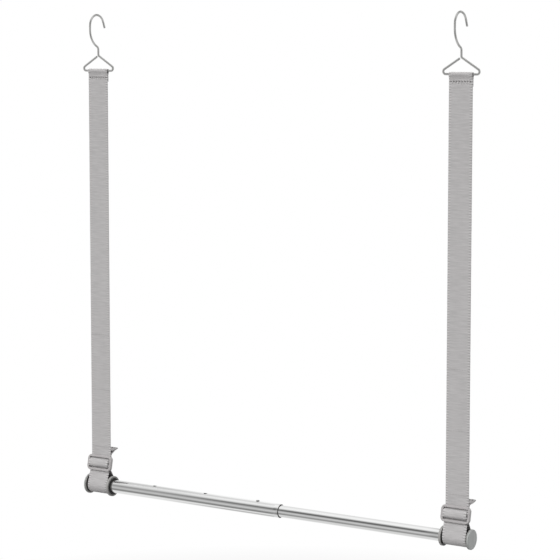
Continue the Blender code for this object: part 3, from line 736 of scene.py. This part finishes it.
def hole_ring(hole, radius):
    """Goes from the rim, hole radius * (cos, sin), to the square's edge in even steps. The rim's sideways
    part becomes an angle on the tube by arcsin."""
    u = np.linspace(-1, 1, 2 * PATCH_TURNS + 1)[:-1]
    one = np.ones(len(u))
    sides = (u, one), (one, -u), (-u, -one), (-one, u), ([-1.0], [1.0])
    square = np.vstack([np.column_stack(side) for side in sides])
    way = np.arctan2(square[:, 1], square[:, 0])
    rim = np.column_stack((hole + HOLE * np.cos(way), np.arcsin(HOLE * np.sin(way) / radius)))
    edge = np.column_stack((hole + PATCH * square[:, 0], 2 * pi / TURNS * PATCH_TURNS * square[:, 1]))
    share = np.linspace(0, 1, 5)[:, None, None]
    ring = rim + share * (edge - rim)
    return on_tube(ring[..., 0], ring[..., 1], radius)


def wall(start, end, radius, holes):
    """The plain grid between the squares, all round, and beside the squares, round the rest of the tube."""
    step = 2 * pi / TURNS
    all_round = np.arange(TURNS + 1) * step
    the_rest = np.arange(PATCH_TURNS, TURNS - PATCH_TURNS + 1) * step
    bounds = [start, *[x + PATCH * s for x in holes for s in (-1, 1)], end]
    plain = zip(bounds[::2], bounds[1::2])
    grids = [on_tube(np.linspace(a, b, 6)[:, None], all_round, radius) for a, b in plain]
    for x in holes:
        grids.append(on_tube(x + PATCH * np.linspace(-1, 1, 2 * PATCH_TURNS + 1)[:, None], the_rest, radius))
        grids.append(hole_ring(x, radius))
    return grids


def tube(start, end, radius, bore, holes):
    """Two walls, the rounded rings that close their ends, and a short wall down each hole."""
    lip = 0.0004
    grids = wall(start + lip, end - lip, radius, holes) + wall(start, end, bore, holes)
    angle = np.arange(TURNS + 1) * 2 * pi / TURNS
    bend = np.linspace(0, pi / 2, 5)
    for tip, way in ((start, -1), (end, 1)):
        along = np.r_[tip - way * lip * (1 - np.sin(bend)), tip]
        out = np.r_[radius - lip * (1 - np.cos(bend)), bore]
        grids.append(on_tube(along[:, None], angle, out[:, None]))
    grids += [np.stack((hole_ring(x, radius)[0], hole_ring(x, bore)[0])) for x in holes]
    return grids


tubes = [
    piece(
        "chrome_outer_tube",
        tube(-TUBE_END, BUTTON_X + PAST_BUTTON, OUTER_TUBE, OUTER_BORE, HOLES_X),
        "outer_rod",
        ["outer_tube"],
    ),
    piece(
        "chrome_inner_tube",
        tube(BUTTON_X - BEHIND_BUTTON, ENDS[1].x + TUBE_END, INNER_TUBE, INNER_BORE, (BUTTON_X,)),
        "inner_rod",
        ["inner_tube"],
    ),
]

# %% [markdown]
# ## The lock button and its spring
#
# A steel button stands in the outer tube's last hole and keeps the rod drawn out. Inside the inner tube, a
# bent leaf spring pushes it up. The button is turned about an upright axis, and the spring is a flat strip
# along its bend. Pressed in, the button goes down 3 mm.

# %% The lock button and its spring
STEM, HEAD = 0.00275, 0.004  # radii of the button
STANDS_OUT = 0.0014  # of the outer tube
HEAD_TOP = np.sqrt(INNER_BORE**2 - HEAD**2) - GAP
HEAD_LOW = HEAD_TOP - 0.001
button_profile = rounded(
    [
        (HEAD_LOW, 0, 0),
        (HEAD_LOW, HEAD, 0.0003),
        (HEAD_TOP, HEAD, 0.0003),
        (HEAD_TOP, STEM, 0.0002),
        (OUTER_TUBE + STANDS_OUT, STEM, 0.0008),
        (OUTER_TUBE + STANDS_OUT, 0, 0),
    ]
)
angle = np.linspace(0, 2 * pi, 49)
height, radius = button_profile[:, :1], button_profile[:, 1:]
button_grid = np.stack(np.broadcast_arrays(radius * np.cos(angle), radius * np.sin(angle), height), axis=-1)
button_grid = button_grid + (BUTTON_X, DEPTH, ROD_Z)
button = piece("steel_button", [button_grid], "lock_button", ["lock_button"])

LEAF, LEAF_WIDTH = 0.00035, 0.0035  # half the spring's thickness and half its width
UPPER = HEAD_LOW - GAP - LEAF
LOWER = GAP + LEAF - np.sqrt(INNER_BORE**2 - LEAF_WIDTH**2)
spring_line = rounded(
    [
        (-0.006, UPPER, 0),
        (0.006, UPPER, 0.003),
        (0.024, UPPER - 0.003, 0.003),
        (0.024, LOWER, 0.003),
        (-0.006, LOWER, 0),
    ]
)
spring_line = even(spring_line, 0.0005)[0]
heading = directions(spring_line)
upright = np.column_stack((-heading[:, 1], heading[:, 0]))
a, b = soft_square(16)
strip = spring_line[:, None] + upright[:, None] * (LEAF * b)[:, None]
strip = np.stack(np.broadcast_arrays(-strip[..., 0], LEAF_WIDTH * a, strip[..., 1]), axis=-1)
ends = [strip[:1] * 0 + strip[i].mean(axis=0) for i in (0, -1)]
strip = np.concatenate((ends[0], strip, ends[1])) + (BUTTON_X, DEPTH, ROD_Z)
spring = piece("leaf_spring", [strip], "inner_rod", ["button_spring"])

# %% [markdown]
# ## Colours and nodes
#
# Colours are written as a paint shop would, in sRGB hex, and turned to the linear values that Blender works
# in. `add` puts one node in a material, sets its properties and inputs, and links the inputs that come from
# other nodes.

# %% Colours and nodes


def colour(code):
    """Hex to linear: c / 12.92 below 0.04045, and ((c + 0.055) / 1.055) ^ 2.4 above it."""
    c = np.array([int(code[i : i + 2], 16) for i in (1, 3, 5)]) / 255
    return (*np.where(c <= 0.04045, c / 12.92, ((c + 0.055) / 1.055) ** 2.4), 1.0)


def add(tree, kind, inputs=None, **settings):
    """A node with its settings. An input is a value, or the output socket of another node."""
    node = tree.nodes.new(kind)
    for name, value in settings.items():
        setattr(node, name, value)
    for name, value in (inputs or {}).items():
        if isinstance(value, bpy.types.NodeSocket):
            tree.links.new(value, node.inputs[name])
        else:
            node.inputs[name].default_value = value
    return node


def finish(name, objects):
    """A new material on these objects, with its node tree and its shader."""
    made = bpy.data.materials.new(name)
    made.use_nodes = True
    for obj in objects:
        obj.data.materials.append(made)
    return made.node_tree, made.node_tree.nodes["Principled BSDF"]


WAVE = 0.31416  # scale of a wave texture whose bands lie 1 apart
print("mid grey", [round(float(c), 3) for c in colour("#B0AEAE")])

# %% [markdown]
# ## Chrome plate
#
# Bright nickel and chrome on a drawn steel tube. The plate itself is nearly colourless and shows only what
# is round it, so its look comes from the light. Drawing leaves faint lines along the tube, and handling
# leaves patches that are a little duller. Plating hardly reaches inside a tube, and the holes and ends are
# cut after it, so there the steel is bare. Its colour there is painted darker than bare steel, as the dark
# reflection and shade in the cut ends, holes and bore. Those are the faces that don't look away from the
# rod's axis.

# %% Chrome plate
tree, chrome = finish("chrome_plate_on_drawn_tube", tubes)
spot = add(tree, "ShaderNodeTexCoord").outputs
place = spot["Object"]
to_axis = {0: place, 1: (0, 1, 1), 2: (0, -DEPTH, -ROD_Z)}
from_axis = add(tree, "ShaderNodeVectorMath", to_axis, operation="MULTIPLY_ADD").outputs["Vector"]
away = add(tree, "ShaderNodeVectorMath", {0: spot["Normal"], 1: from_axis}, operation="DOT_PRODUCT")
outward = {"Value": away.outputs["Value"], "From Min": 0.004, "From Max": 0.007}
plate = add(tree, "ShaderNodeMapRange", outward).outputs["Result"]
drawn = add(tree, "ShaderNodeMapping", {"Vector": place, "Scale": (6, 700, 700)})  # lines 1.4 mm apart
lines = add(tree, "ShaderNodeTexNoise", {"Vector": drawn.outputs["Vector"], "Scale": 1.0, "Detail": 3.0})
smudge = add(tree, "ShaderNodeTexNoise", {"Vector": place, "Scale": 28.0, "Detail": 3.0})  # patches of 35 mm
dull = add(tree, "ShaderNodeMapRange", {"Value": smudge.outputs["Fac"], "To Min": 0.03, "To Max": 0.07})
bump = add(tree, "ShaderNodeBump", {"Height": lines.outputs["Fac"], "Strength": 0.03, "Distance": 0.0002})
tint = add(tree, "ShaderNodeMix", {"Factor": smudge.outputs["Fac"]}, data_type="RGBA")
tint.inputs["A"].default_value = colour("#F6F6F6")
tint.inputs["B"].default_value = colour("#EDEEED")
steel = add(tree, "ShaderNodeMix", {"Factor": plate}, data_type="RGBA")
# painted darkness: bare steel made darker than bare steel is, standing in for the dark reflection and shade
# in the cut ends, holes and bore
steel.inputs["A"].default_value = colour("#4E4C4A")  # bare, a little brown
tree.links.new(tint.outputs["Result"], steel.inputs["B"])
polish = add(tree, "ShaderNodeMix", {"Factor": plate, "A": 0.5, "B": dull.outputs["Result"]})
tree.links.new(steel.outputs["Result"], chrome.inputs["Base Color"])
tree.links.new(polish.outputs["Result"], chrome.inputs["Roughness"])
tree.links.new(bump.outputs["Normal"], chrome.inputs["Normal"])
chrome.inputs["Metallic"].default_value = 1.0
print("chrome on", len(tubes), "tubes")

# %% [markdown]
# ## Plated wire
#
# The hooks are steel wire, bent first and plated after. The plate is thinner and less even than on the
# tube, so the wire is satin: it shows a soft light line instead of a clear reflection.

# %% Plated wire
tree, plated = finish("zinc_plated_wire", hooks)
place = add(tree, "ShaderNodeTexCoord").outputs["Object"]
grain = add(tree, "ShaderNodeTexNoise", {"Vector": place, "Scale": 900.0, "Detail": 4.0})  # 1 mm mottling
cloud = add(tree, "ShaderNodeTexNoise", {"Vector": place, "Scale": 90.0, "Detail": 2.0})  # 11 mm patches
dull = add(tree, "ShaderNodeMapRange", {"Value": cloud.outputs["Fac"], "To Min": 0.2, "To Max": 0.36})
bump = add(tree, "ShaderNodeBump", {"Height": grain.outputs["Fac"], "Strength": 0.08, "Distance": 0.0002})
tint = add(tree, "ShaderNodeMix", {"Factor": cloud.outputs["Fac"]}, data_type="RGBA")
tint.inputs["A"].default_value = colour("#D4D4D3")
tint.inputs["B"].default_value = colour("#BEBEBC")
tree.links.new(tint.outputs["Result"], plated.inputs["Base Color"])
tree.links.new(dull.outputs["Result"], plated.inputs["Roughness"])
tree.links.new(bump.outputs["Normal"], plated.inputs["Normal"])
plated.inputs["Metallic"].default_value = 1.0
print("plated wire on", len(hooks), "hooks")

# %% [markdown]
# ## Webbing
#
# Flat polyester webbing, woven from grey yarn: ribs run along the strap and the weft crosses under and over
# them. The strap's UV map is in centimetres, so the weave follows the strap round every bend. The real
# weave is about 1 mm from rib to rib, which is less than a pixel here, so it is drawn a little coarser, and
# a slower unevenness of the yarn lies over it. Along both edges the weft turns back and leaves small bumps,
# and the light and shade on these bumps is painted as a row of small light and dark dots.

# %% Webbing
RIB, PICK = 0.13, 0.10  # centimetres from rib to rib, and from one crossing thread to the next
tree, cloth = finish("woven_polyester_webbing", STRAPS)
place = add(tree, "ShaderNodeUVMap", uv_map="pattern").outputs["UV"]
ribs = add(tree, "ShaderNodeTexWave", {"Vector": place, "Scale": WAVE / RIB}, bands_direction="X")
picks = add(tree, "ShaderNodeTexWave", {"Vector": place, "Scale": WAVE / PICK}, bands_direction="Y")
weave = add(tree, "ShaderNodeMath", {0: ribs.outputs["Fac"], 1: picks.outputs["Fac"]}, operation="MULTIPLY")
slub = add(tree, "ShaderNodeMapping", {"Vector": place, "Scale": (0.5, 5.0, 1.0)})  # streaks of 20 x 2 mm
yarn = add(tree, "ShaderNodeTexNoise", {"Vector": slub.outputs["Vector"], "Scale": 1.0, "Detail": 4.0})
shade = add(tree, "ShaderNodeMath", {0: weave.outputs["Value"], 1: 0.35}, operation="MULTIPLY")
mottle = add(tree, "ShaderNodeMath", {0: yarn.outputs["Fac"], 1: shade.outputs["Value"]}, operation="ADD")
tint = add(tree, "ShaderNodeMix", {"Factor": mottle.outputs["Value"]}, data_type="RGBA")
tint.inputs["A"].default_value = colour("#9B9999")
tint.inputs["B"].default_value = colour("#C5C3C3")
bump = add(tree, "ShaderNodeBump", {"Height": weave.outputs["Value"], "Strength": 0.35, "Distance": 0.0004})
# painted light and shade: light and dark dots along both edges, one pair for each bump of the selvedge
across = add(tree, "ShaderNodeSeparateXYZ", {"Vector": place}).outputs["X"]
aside = add(tree, "ShaderNodeMath", {0: across}, operation="ABSOLUTE").outputs["Value"]
border = add(tree, "ShaderNodeMapRange", {"Value": aside, "From Min": 1.45, "From Max": 1.75, "To Max": 0.5})
bumps = {"Vector": place, "Scale": WAVE / (100 * SELVEDGE)}  # one dot for each bump of the selvedge
turns = add(tree, "ShaderNodeTexWave", bumps, bands_direction="Y")
dots = add(tree, "ShaderNodeMix", {"Factor": turns.outputs["Fac"]}, data_type="RGBA")
dots.inputs["A"].default_value = colour("#DCDADA")
dots.inputs["B"].default_value = colour("#7C7A7A")
edged = add(tree, "ShaderNodeMix", {"Factor": border.outputs["Result"]}, data_type="RGBA")
tree.links.new(tint.outputs["Result"], edged.inputs["A"])
tree.links.new(dots.outputs["Result"], edged.inputs["B"])
tree.links.new(edged.outputs["Result"], cloth.inputs["Base Color"])
tree.links.new(bump.outputs["Normal"], cloth.inputs["Normal"])
cloth.inputs["Roughness"].default_value = 0.85
cloth.inputs["Sheen Weight"].default_value = 0.15
print("webbing on", len(STRAPS), "pieces")

# %% [markdown]
# ## Thread
#
# Polyester sewing thread, spun from two twisted plies. The twist shows as slanting bands. The hems and
# tails are sewn in a darker grey than the webbing; at the hems this dark grey is painted shade of the crease
# that the stitch row pulls into the cloth. A pale thread lies behind, and the marks are in the webbing's own
# grey.

# %% Thread
SEWN = (
    # the dark grey of the hems' thread is painted shade of the crease along the stitch row
    ("dark_thread_painted_crease_shade", THREADS, "#5C5A5A", "#7C7A7A"),
    ("pale_polyester_thread", DOTS, "#D2D0D0", "#E4E2E2"),
    ("webbing_grey_thread", MARKS, "#9C9A9A", "#BAB8B8"),
)
for name, objects, dark, light in SEWN:
    tree, twine = finish(name, objects)
    place = add(tree, "ShaderNodeTexCoord").outputs["Object"]
    plies = {"Vector": place, "Scale": WAVE / 0.0009}  # 0.9 mm from ply to ply
    twist = add(tree, "ShaderNodeTexWave", plies, bands_direction="DIAGONAL")
    tint = add(tree, "ShaderNodeMix", {"Factor": twist.outputs["Fac"]}, data_type="RGBA")
    tint.inputs["A"].default_value = colour(dark)
    tint.inputs["B"].default_value = colour(light)
    bump = add(tree, "ShaderNodeBump", {"Height": twist.outputs["Fac"], "Strength": 0.3, "Distance": 0.0002})
    tree.links.new(tint.outputs["Result"], twine.inputs["Base Color"])
    tree.links.new(bump.outputs["Normal"], twine.inputs["Normal"])
    twine.inputs["Roughness"].default_value = 0.7
    print(name, "on", len(objects), "rows")

# %% [markdown]
# ## Moulded plastic
#
# The buckles are ABS, moulded in the grey of the webbing. The end caps come from another mould, in a grey a
# little darker. The rings in the spools' mouths are painted nearly black, as the shade in the mouths'
# recesses. The spools are grey, and their UV map paints shade into their colour: dark in the strap's groove
# and the mouth, half as dark on the mouth's face. The moulds' finely blasted steel gives the plastic a satin
# surface with a faint grain, and the melt leaves faint flow lines in it.

# %% Moulded plastic
GREYS = (
    ("moulded_abs_buckle_grey", buckles, "#AFACAC", "#A5A2A2", 0.42),
    ("moulded_abs_spool_grey", spools, "#A09F9D", "#949391", 0.42),
    ("moulded_abs_cap_grey", caps, "#B4B6B5", "#949795", 0.40),
    # the rings' near-black is painted shade in the recess of each mouth
    ("mouth_ring_painted_shade", rings, "#2B2C2B", "#222322", 0.55),
)
for name, objects, light, dark, rough in GREYS:
    tree, plastic = finish(name, objects)
    place = add(tree, "ShaderNodeTexCoord").outputs["Object"]
    grain = add(tree, "ShaderNodeTexNoise", {"Vector": place, "Scale": 1400.0, "Detail": 2.0})  # 0.7 mm grain
    flow = add(tree, "ShaderNodeMapping", {"Vector": place, "Scale": (260, 260, 45)})  # 4 mm flow lines
    streak = add(tree, "ShaderNodeTexNoise", {"Vector": flow.outputs["Vector"], "Scale": 1.0, "Detail": 3.0})
    tint = add(tree, "ShaderNodeMix", {"Factor": streak.outputs["Fac"]}, data_type="RGBA")
    tint.inputs["A"].default_value = colour(light)
    tint.inputs["B"].default_value = colour(dark)
    dull = add(tree, "ShaderNodeMapRange", {"Value": grain.outputs["Fac"]})
    dull.inputs["To Min"].default_value = rough - 0.06
    dull.inputs["To Max"].default_value = rough + 0.08
    bump = add(tree, "ShaderNodeBump", {"Height": grain.outputs["Fac"], "Strength": 0.1, "Distance": 0.0002})
    base_colour = tint
    # painted shade: the spools' UV map darkens the strap's groove and the mouth, and half darkens the mouth's
    # face
    if objects is spools:
        pattern = add(tree, "ShaderNodeUVMap", uv_map="pattern").outputs["UV"]
        shade = add(tree, "ShaderNodeSeparateXYZ", {"Vector": pattern}).outputs["X"]
        base_colour = add(tree, "ShaderNodeMix", {"Factor": shade, "A": tint.outputs["Result"]}, data_type="RGBA")
        base_colour.inputs["B"].default_value = colour("#3A3A39")
    tree.links.new(base_colour.outputs["Result"], plastic.inputs["Base Color"])
    tree.links.new(dull.outputs["Result"], plastic.inputs["Roughness"])
    tree.links.new(bump.outputs["Normal"], plastic.inputs["Normal"])
    plastic.inputs["IOR"].default_value = 1.53
    print(name, "on", len(objects), "pieces")

# %% [markdown]
# ## Steel
#
# The button is turned steel with a thin plate, and the spring is blued strip, bent cold. Both show fine
# lines from their making: rings round the button, and lines along the spring.

# %% Steel
STEELS = (
    ("turned_steel_button", [button], "#BDBDBC", "#A8A8A7", 0.28, (900, 900, 900)),
    ("rolled_spring_steel", [spring], "#A7A8AB", "#8E8F93", 0.34, (40, 1500, 1500)),
)
for name, objects, light, dark, rough, scale in STEELS:
    tree, steel = finish(name, objects)
    place = add(tree, "ShaderNodeTexCoord").outputs["Object"]
    lines = add(tree, "ShaderNodeMapping", {"Vector": place, "Scale": scale})
    grain = add(tree, "ShaderNodeTexNoise", {"Vector": lines.outputs["Vector"], "Scale": 1.0, "Detail": 3.0})
    tint = add(tree, "ShaderNodeMix", {"Factor": grain.outputs["Fac"]}, data_type="RGBA")
    tint.inputs["A"].default_value = colour(light)
    tint.inputs["B"].default_value = colour(dark)
    bump = add(tree, "ShaderNodeBump", {"Height": grain.outputs["Fac"], "Strength": 0.08, "Distance": 0.0001})
    tree.links.new(tint.outputs["Result"], steel.inputs["Base Color"])
    tree.links.new(bump.outputs["Normal"], steel.inputs["Normal"])
    steel.inputs["Metallic"].default_value = 1.0
    steel.inputs["Roughness"].default_value = rough
    print(name, "on", len(objects), "piece")

# %% [markdown]
# ## The lower webs' own meshes
#
# The lower web is the part of the strap that feeds through the buckle when the rod is raised. Each lower
# web, the two marks sewn on it and the spring get meshes of their own, and for each side the lower web's
# length and what is left of it once the rod is raised are printed.

# %% The lower webs' own meshes
RAISE = 0.2  # how far the rod can be raised
for end in ENDS:
    parts = ("web_upper", "web_lower", "loop")
    upper, lower, loop = [bpy.data.objects[f"{end.side}_{part}"] for part in parts]
    upper_cut, lower_cut, loop_cut, mark_z = CUTS[end.side]
    marks = LOW_MARKS[end.side]
    top, left_over = (end.x, DEPTH + STRAP_Y, mark_z), (lower_cut - RAISE) / lower_cut
    for drawn, keep in ((lower, left_over), (marks, left_over / 10)):
        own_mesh(drawn)
    drawn_in = round((lower_cut - RAISE) * 1000, 1)
    print(end.side, "lower web", round(lower_cut * 1000), "mm, drawn in to", drawn_in, "mm")

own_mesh(spring)

# %% [markdown]
# ## Floor, light and surroundings
#
# The object hangs in front of plain white. The floor lies well below it, so its shadow stays out of the
# picture, and to the camera both floor and world are white at a strength of 1. Three soft lamps light it: a
# key from the front left, a weaker one from the right, and a weak one from above and behind.
#
# Metal needs something to reflect. A level tube turns every direction round its axis into a line along
# itself, so the light tent for glossy rays is written by that angle: bright cloth above and below, and two
# grey gaps that become the dark lines which make a tube look like chrome. The far, middle and near stretch
# of the rod look into three slightly different strips of the tent. A fourth strip, much the same to the
# front and to the back, is what the rod shows from other sides, and far to the left a white panel closes
# the tent.

# %% Floor
FLOOR_Z = -1.15
rim = np.linspace(0, 2 * pi, 97)
reach = np.array((0, 2.0, 4.0, 6.0))[:, None]
disc = np.stack(np.broadcast_arrays(0.34 + reach * np.cos(rim), reach * np.sin(rim), FLOOR_Z), axis=-1)
mesh = bpy.data.meshes.new("floor")
mesh.from_pydata(disc.reshape(-1, 3), [], faces_of(*disc.shape[:2], 0))
floor = bpy.data.objects.new("floor", mesh)
bpy.context.scene.collection.objects.link(floor)
floor.visible_glossy = False

matt = bpy.data.materials.new("white_paper")
matt.use_nodes = True
mesh.materials.append(matt)
tree = matt.node_tree
paper = tree.nodes["Principled BSDF"]
paper.inputs["Base Color"].default_value = colour("#8C8C8C")
paper.inputs["Roughness"].default_value = 0.9
place = add(tree, "ShaderNodeTexCoord").outputs["Object"]
away = add(tree, "ShaderNodeVectorMath", {0: place, 1: (0.34, 0, FLOOR_Z)}, operation="DISTANCE")
fade = add(tree, "ShaderNodeMapRange", {"Value": away.outputs["Value"], "From Min": 0.5, "From Max": 1.2})
fade.inputs["To Min"].default_value = 0.55
seen = add(tree, "ShaderNodeLightPath").outputs["Is Camera Ray"]
part = add(tree, "ShaderNodeMath", {0: seen, 1: fade.outputs["Result"]}, operation="MULTIPLY")
white = add(tree, "ShaderNodeEmission", {"Color": (1, 1, 1, 1), "Strength": 1.0})
both = add(tree, "ShaderNodeMixShader", {0: part.outputs["Value"], 1: paper.outputs["BSDF"]})
tree.links.new(white.outputs["Emission"], both.inputs[2])
tree.links.new(both.outputs["Shader"], tree.nodes["Material Output"].inputs["Surface"])
print("floor", FLOOR_Z, "m")

# %% Directions in the tent
world = bpy.data.worlds.new("light_tent")
world.use_nodes = True
bpy.context.scene.world = world
tree = world.node_tree
tree.nodes.clear()
rays = add(tree, "ShaderNodeLightPath").outputs
look = add(tree, "ShaderNodeTexCoord").outputs["Generated"]
part = add(tree, "ShaderNodeSeparateXYZ", {"Vector": look}).outputs
opposite = add(tree, "ShaderNodeVectorMath", {0: look, "Scale": -1.0}, operation="SCALE").outputs["Vector"]
back = add(tree, "ShaderNodeSeparateXYZ", {"Vector": opposite}).outputs
round_rod = add(tree, "ShaderNodeMath", {0: back["Z"], 1: back["Y"]}, operation="ARCTAN2").outputs["Value"]
full_turn = {"Value": round_rod, "From Min": -pi, "From Max": pi}
turn = add(tree, "ShaderNodeMapRange", full_turn).outputs["Result"]
print("the tent is drawn by the angle round the rod")

# %% The tent's strips
# degrees from the back over the top (90), the front (180) and below (270), and the brightness there
TENTS = (
    (
        (0, 35, 60, 92, 118, 148, 184, 218, 250, 280, 330),
        (0.8, 0.8, 0.57, 0.88, 0.74, 0.3, 0.62, 0.17, 0.9, 0.8, 1.0),
    ),
    (
        (0, 35, 68, 100, 118, 147, 188, 226, 256, 280, 330),
        (1.0, 1.0, 0.7, 0.96, 0.86, 0.14, 0.68, 0.15, 0.95, 0.46, 0.78),
    ),
    (
        (0, 45, 84, 108, 140, 152, 182, 220, 246, 280, 330),
        (0.92, 0.8, 1.0, 1.0, 0.14, 0.12, 0.7, 0.25, 0.75, 0.72, 0.96),
    ),
    (
        (0, 22, 40, 70, 110, 142, 180, 218, 250, 290, 318, 340),
        (0.9, 0.7, 0.16, 0.95, 0.95, 0.16, 0.6, 0.2, 0.8, 0.8, 0.2, 0.7),
    ),
)
PASSES = ((-0.572, -0.548), (-0.527, -0.523), (-0.44, -0.40))  # X of a direction, from strip to strip
looks = []
for degrees, levels in TENTS:
    bands = add(tree, "ShaderNodeValToRGB", {"Fac": turn})
    ramp = bands.color_ramp.elements
    while len(ramp) < len(degrees):
        ramp.new(0.5)
    for stop, degree, level in zip(ramp, degrees, levels):
        stop.position = degree / 360
        stop.color = (level, level, level, 1)
    looks.append(bands.outputs["Color"])
strip = looks[0]
for look, (first, last) in zip(looks[1:], PASSES):
    nearer = add(tree, "ShaderNodeMapRange", {"Value": part["X"], "From Min": first, "From Max": last})
    mixed = {"Factor": nearer.outputs["Result"], "A": strip, "B": look}
    strip = add(tree, "ShaderNodeMix", mixed, data_type="RGBA").outputs["Result"]
to_left = add(tree, "ShaderNodeMapRange", {"Value": part["X"], "From Min": -0.64, "From Max": -0.72})
panel = add(tree, "ShaderNodeMix", {"Factor": to_left.outputs["Result"], "A": strip}, data_type="RGBA")
panel.inputs["B"].default_value = (1, 1, 1, 1)
print("tent with", len(TENTS), "strips")

# %% What each kind of ray sees
tent = add(tree, "ShaderNodeBackground", {"Color": panel.outputs["Result"], "Strength": 1.0})
above = add(tree, "ShaderNodeMapRange", {"Value": part["Z"], "From Min": -0.5, "From Max": 0.8})
above.inputs["To Min"].default_value = 0.08
above.inputs["To Max"].default_value = 0.6
soft = add(tree, "ShaderNodeBackground", {"Color": (1, 1, 1, 1), "Strength": above.outputs["Result"]})
bright = add(tree, "ShaderNodeBackground", {"Color": (1, 1, 1, 1), "Strength": 1.0})
metal = add(tree, "ShaderNodeMixShader", {0: rays["Is Glossy Ray"], 1: soft.outputs["Background"]})
tree.links.new(tent.outputs["Background"], metal.inputs[2])
straight = {0: rays["Is Camera Ray"], 1: rays["Is Transmission Ray"]}
plain = add(tree, "ShaderNodeMath", straight, operation="MAXIMUM")
seen = add(tree, "ShaderNodeMixShader", {0: plain.outputs["Value"], 1: metal.outputs["Shader"]})
tree.links.new(bright.outputs["Background"], seen.inputs[2])
add(tree, "ShaderNodeOutputWorld", {"Surface": seen.outputs["Shader"]})
print("world with", len(tree.nodes), "nodes")

# %% Lamps
LAMPS = (
    ("key", 2.4, radians(40), (0.40, 0.76, -0.51)),
    ("rim", 1.0, radians(60), (-0.80, -0.30, -0.52)),
    ("back", 0.5, radians(60), (-0.1, -0.62, -0.78)),
)
for name, energy, angle, way in LAMPS:
    sun = bpy.data.lights.new(name, "SUN")
    sun.energy = energy
    sun.angle = angle
    lamp = bpy.data.objects.new(name, sun)
    bpy.context.scene.collection.objects.link(lamp)
    lamp.rotation_euler = Vector(way).to_track_quat("-Z", "Y").to_euler()
    lamp.visible_glossy = False
bpy.context.scene.view_settings.view_transform = "Standard"
print(len(LAMPS), "lamps")
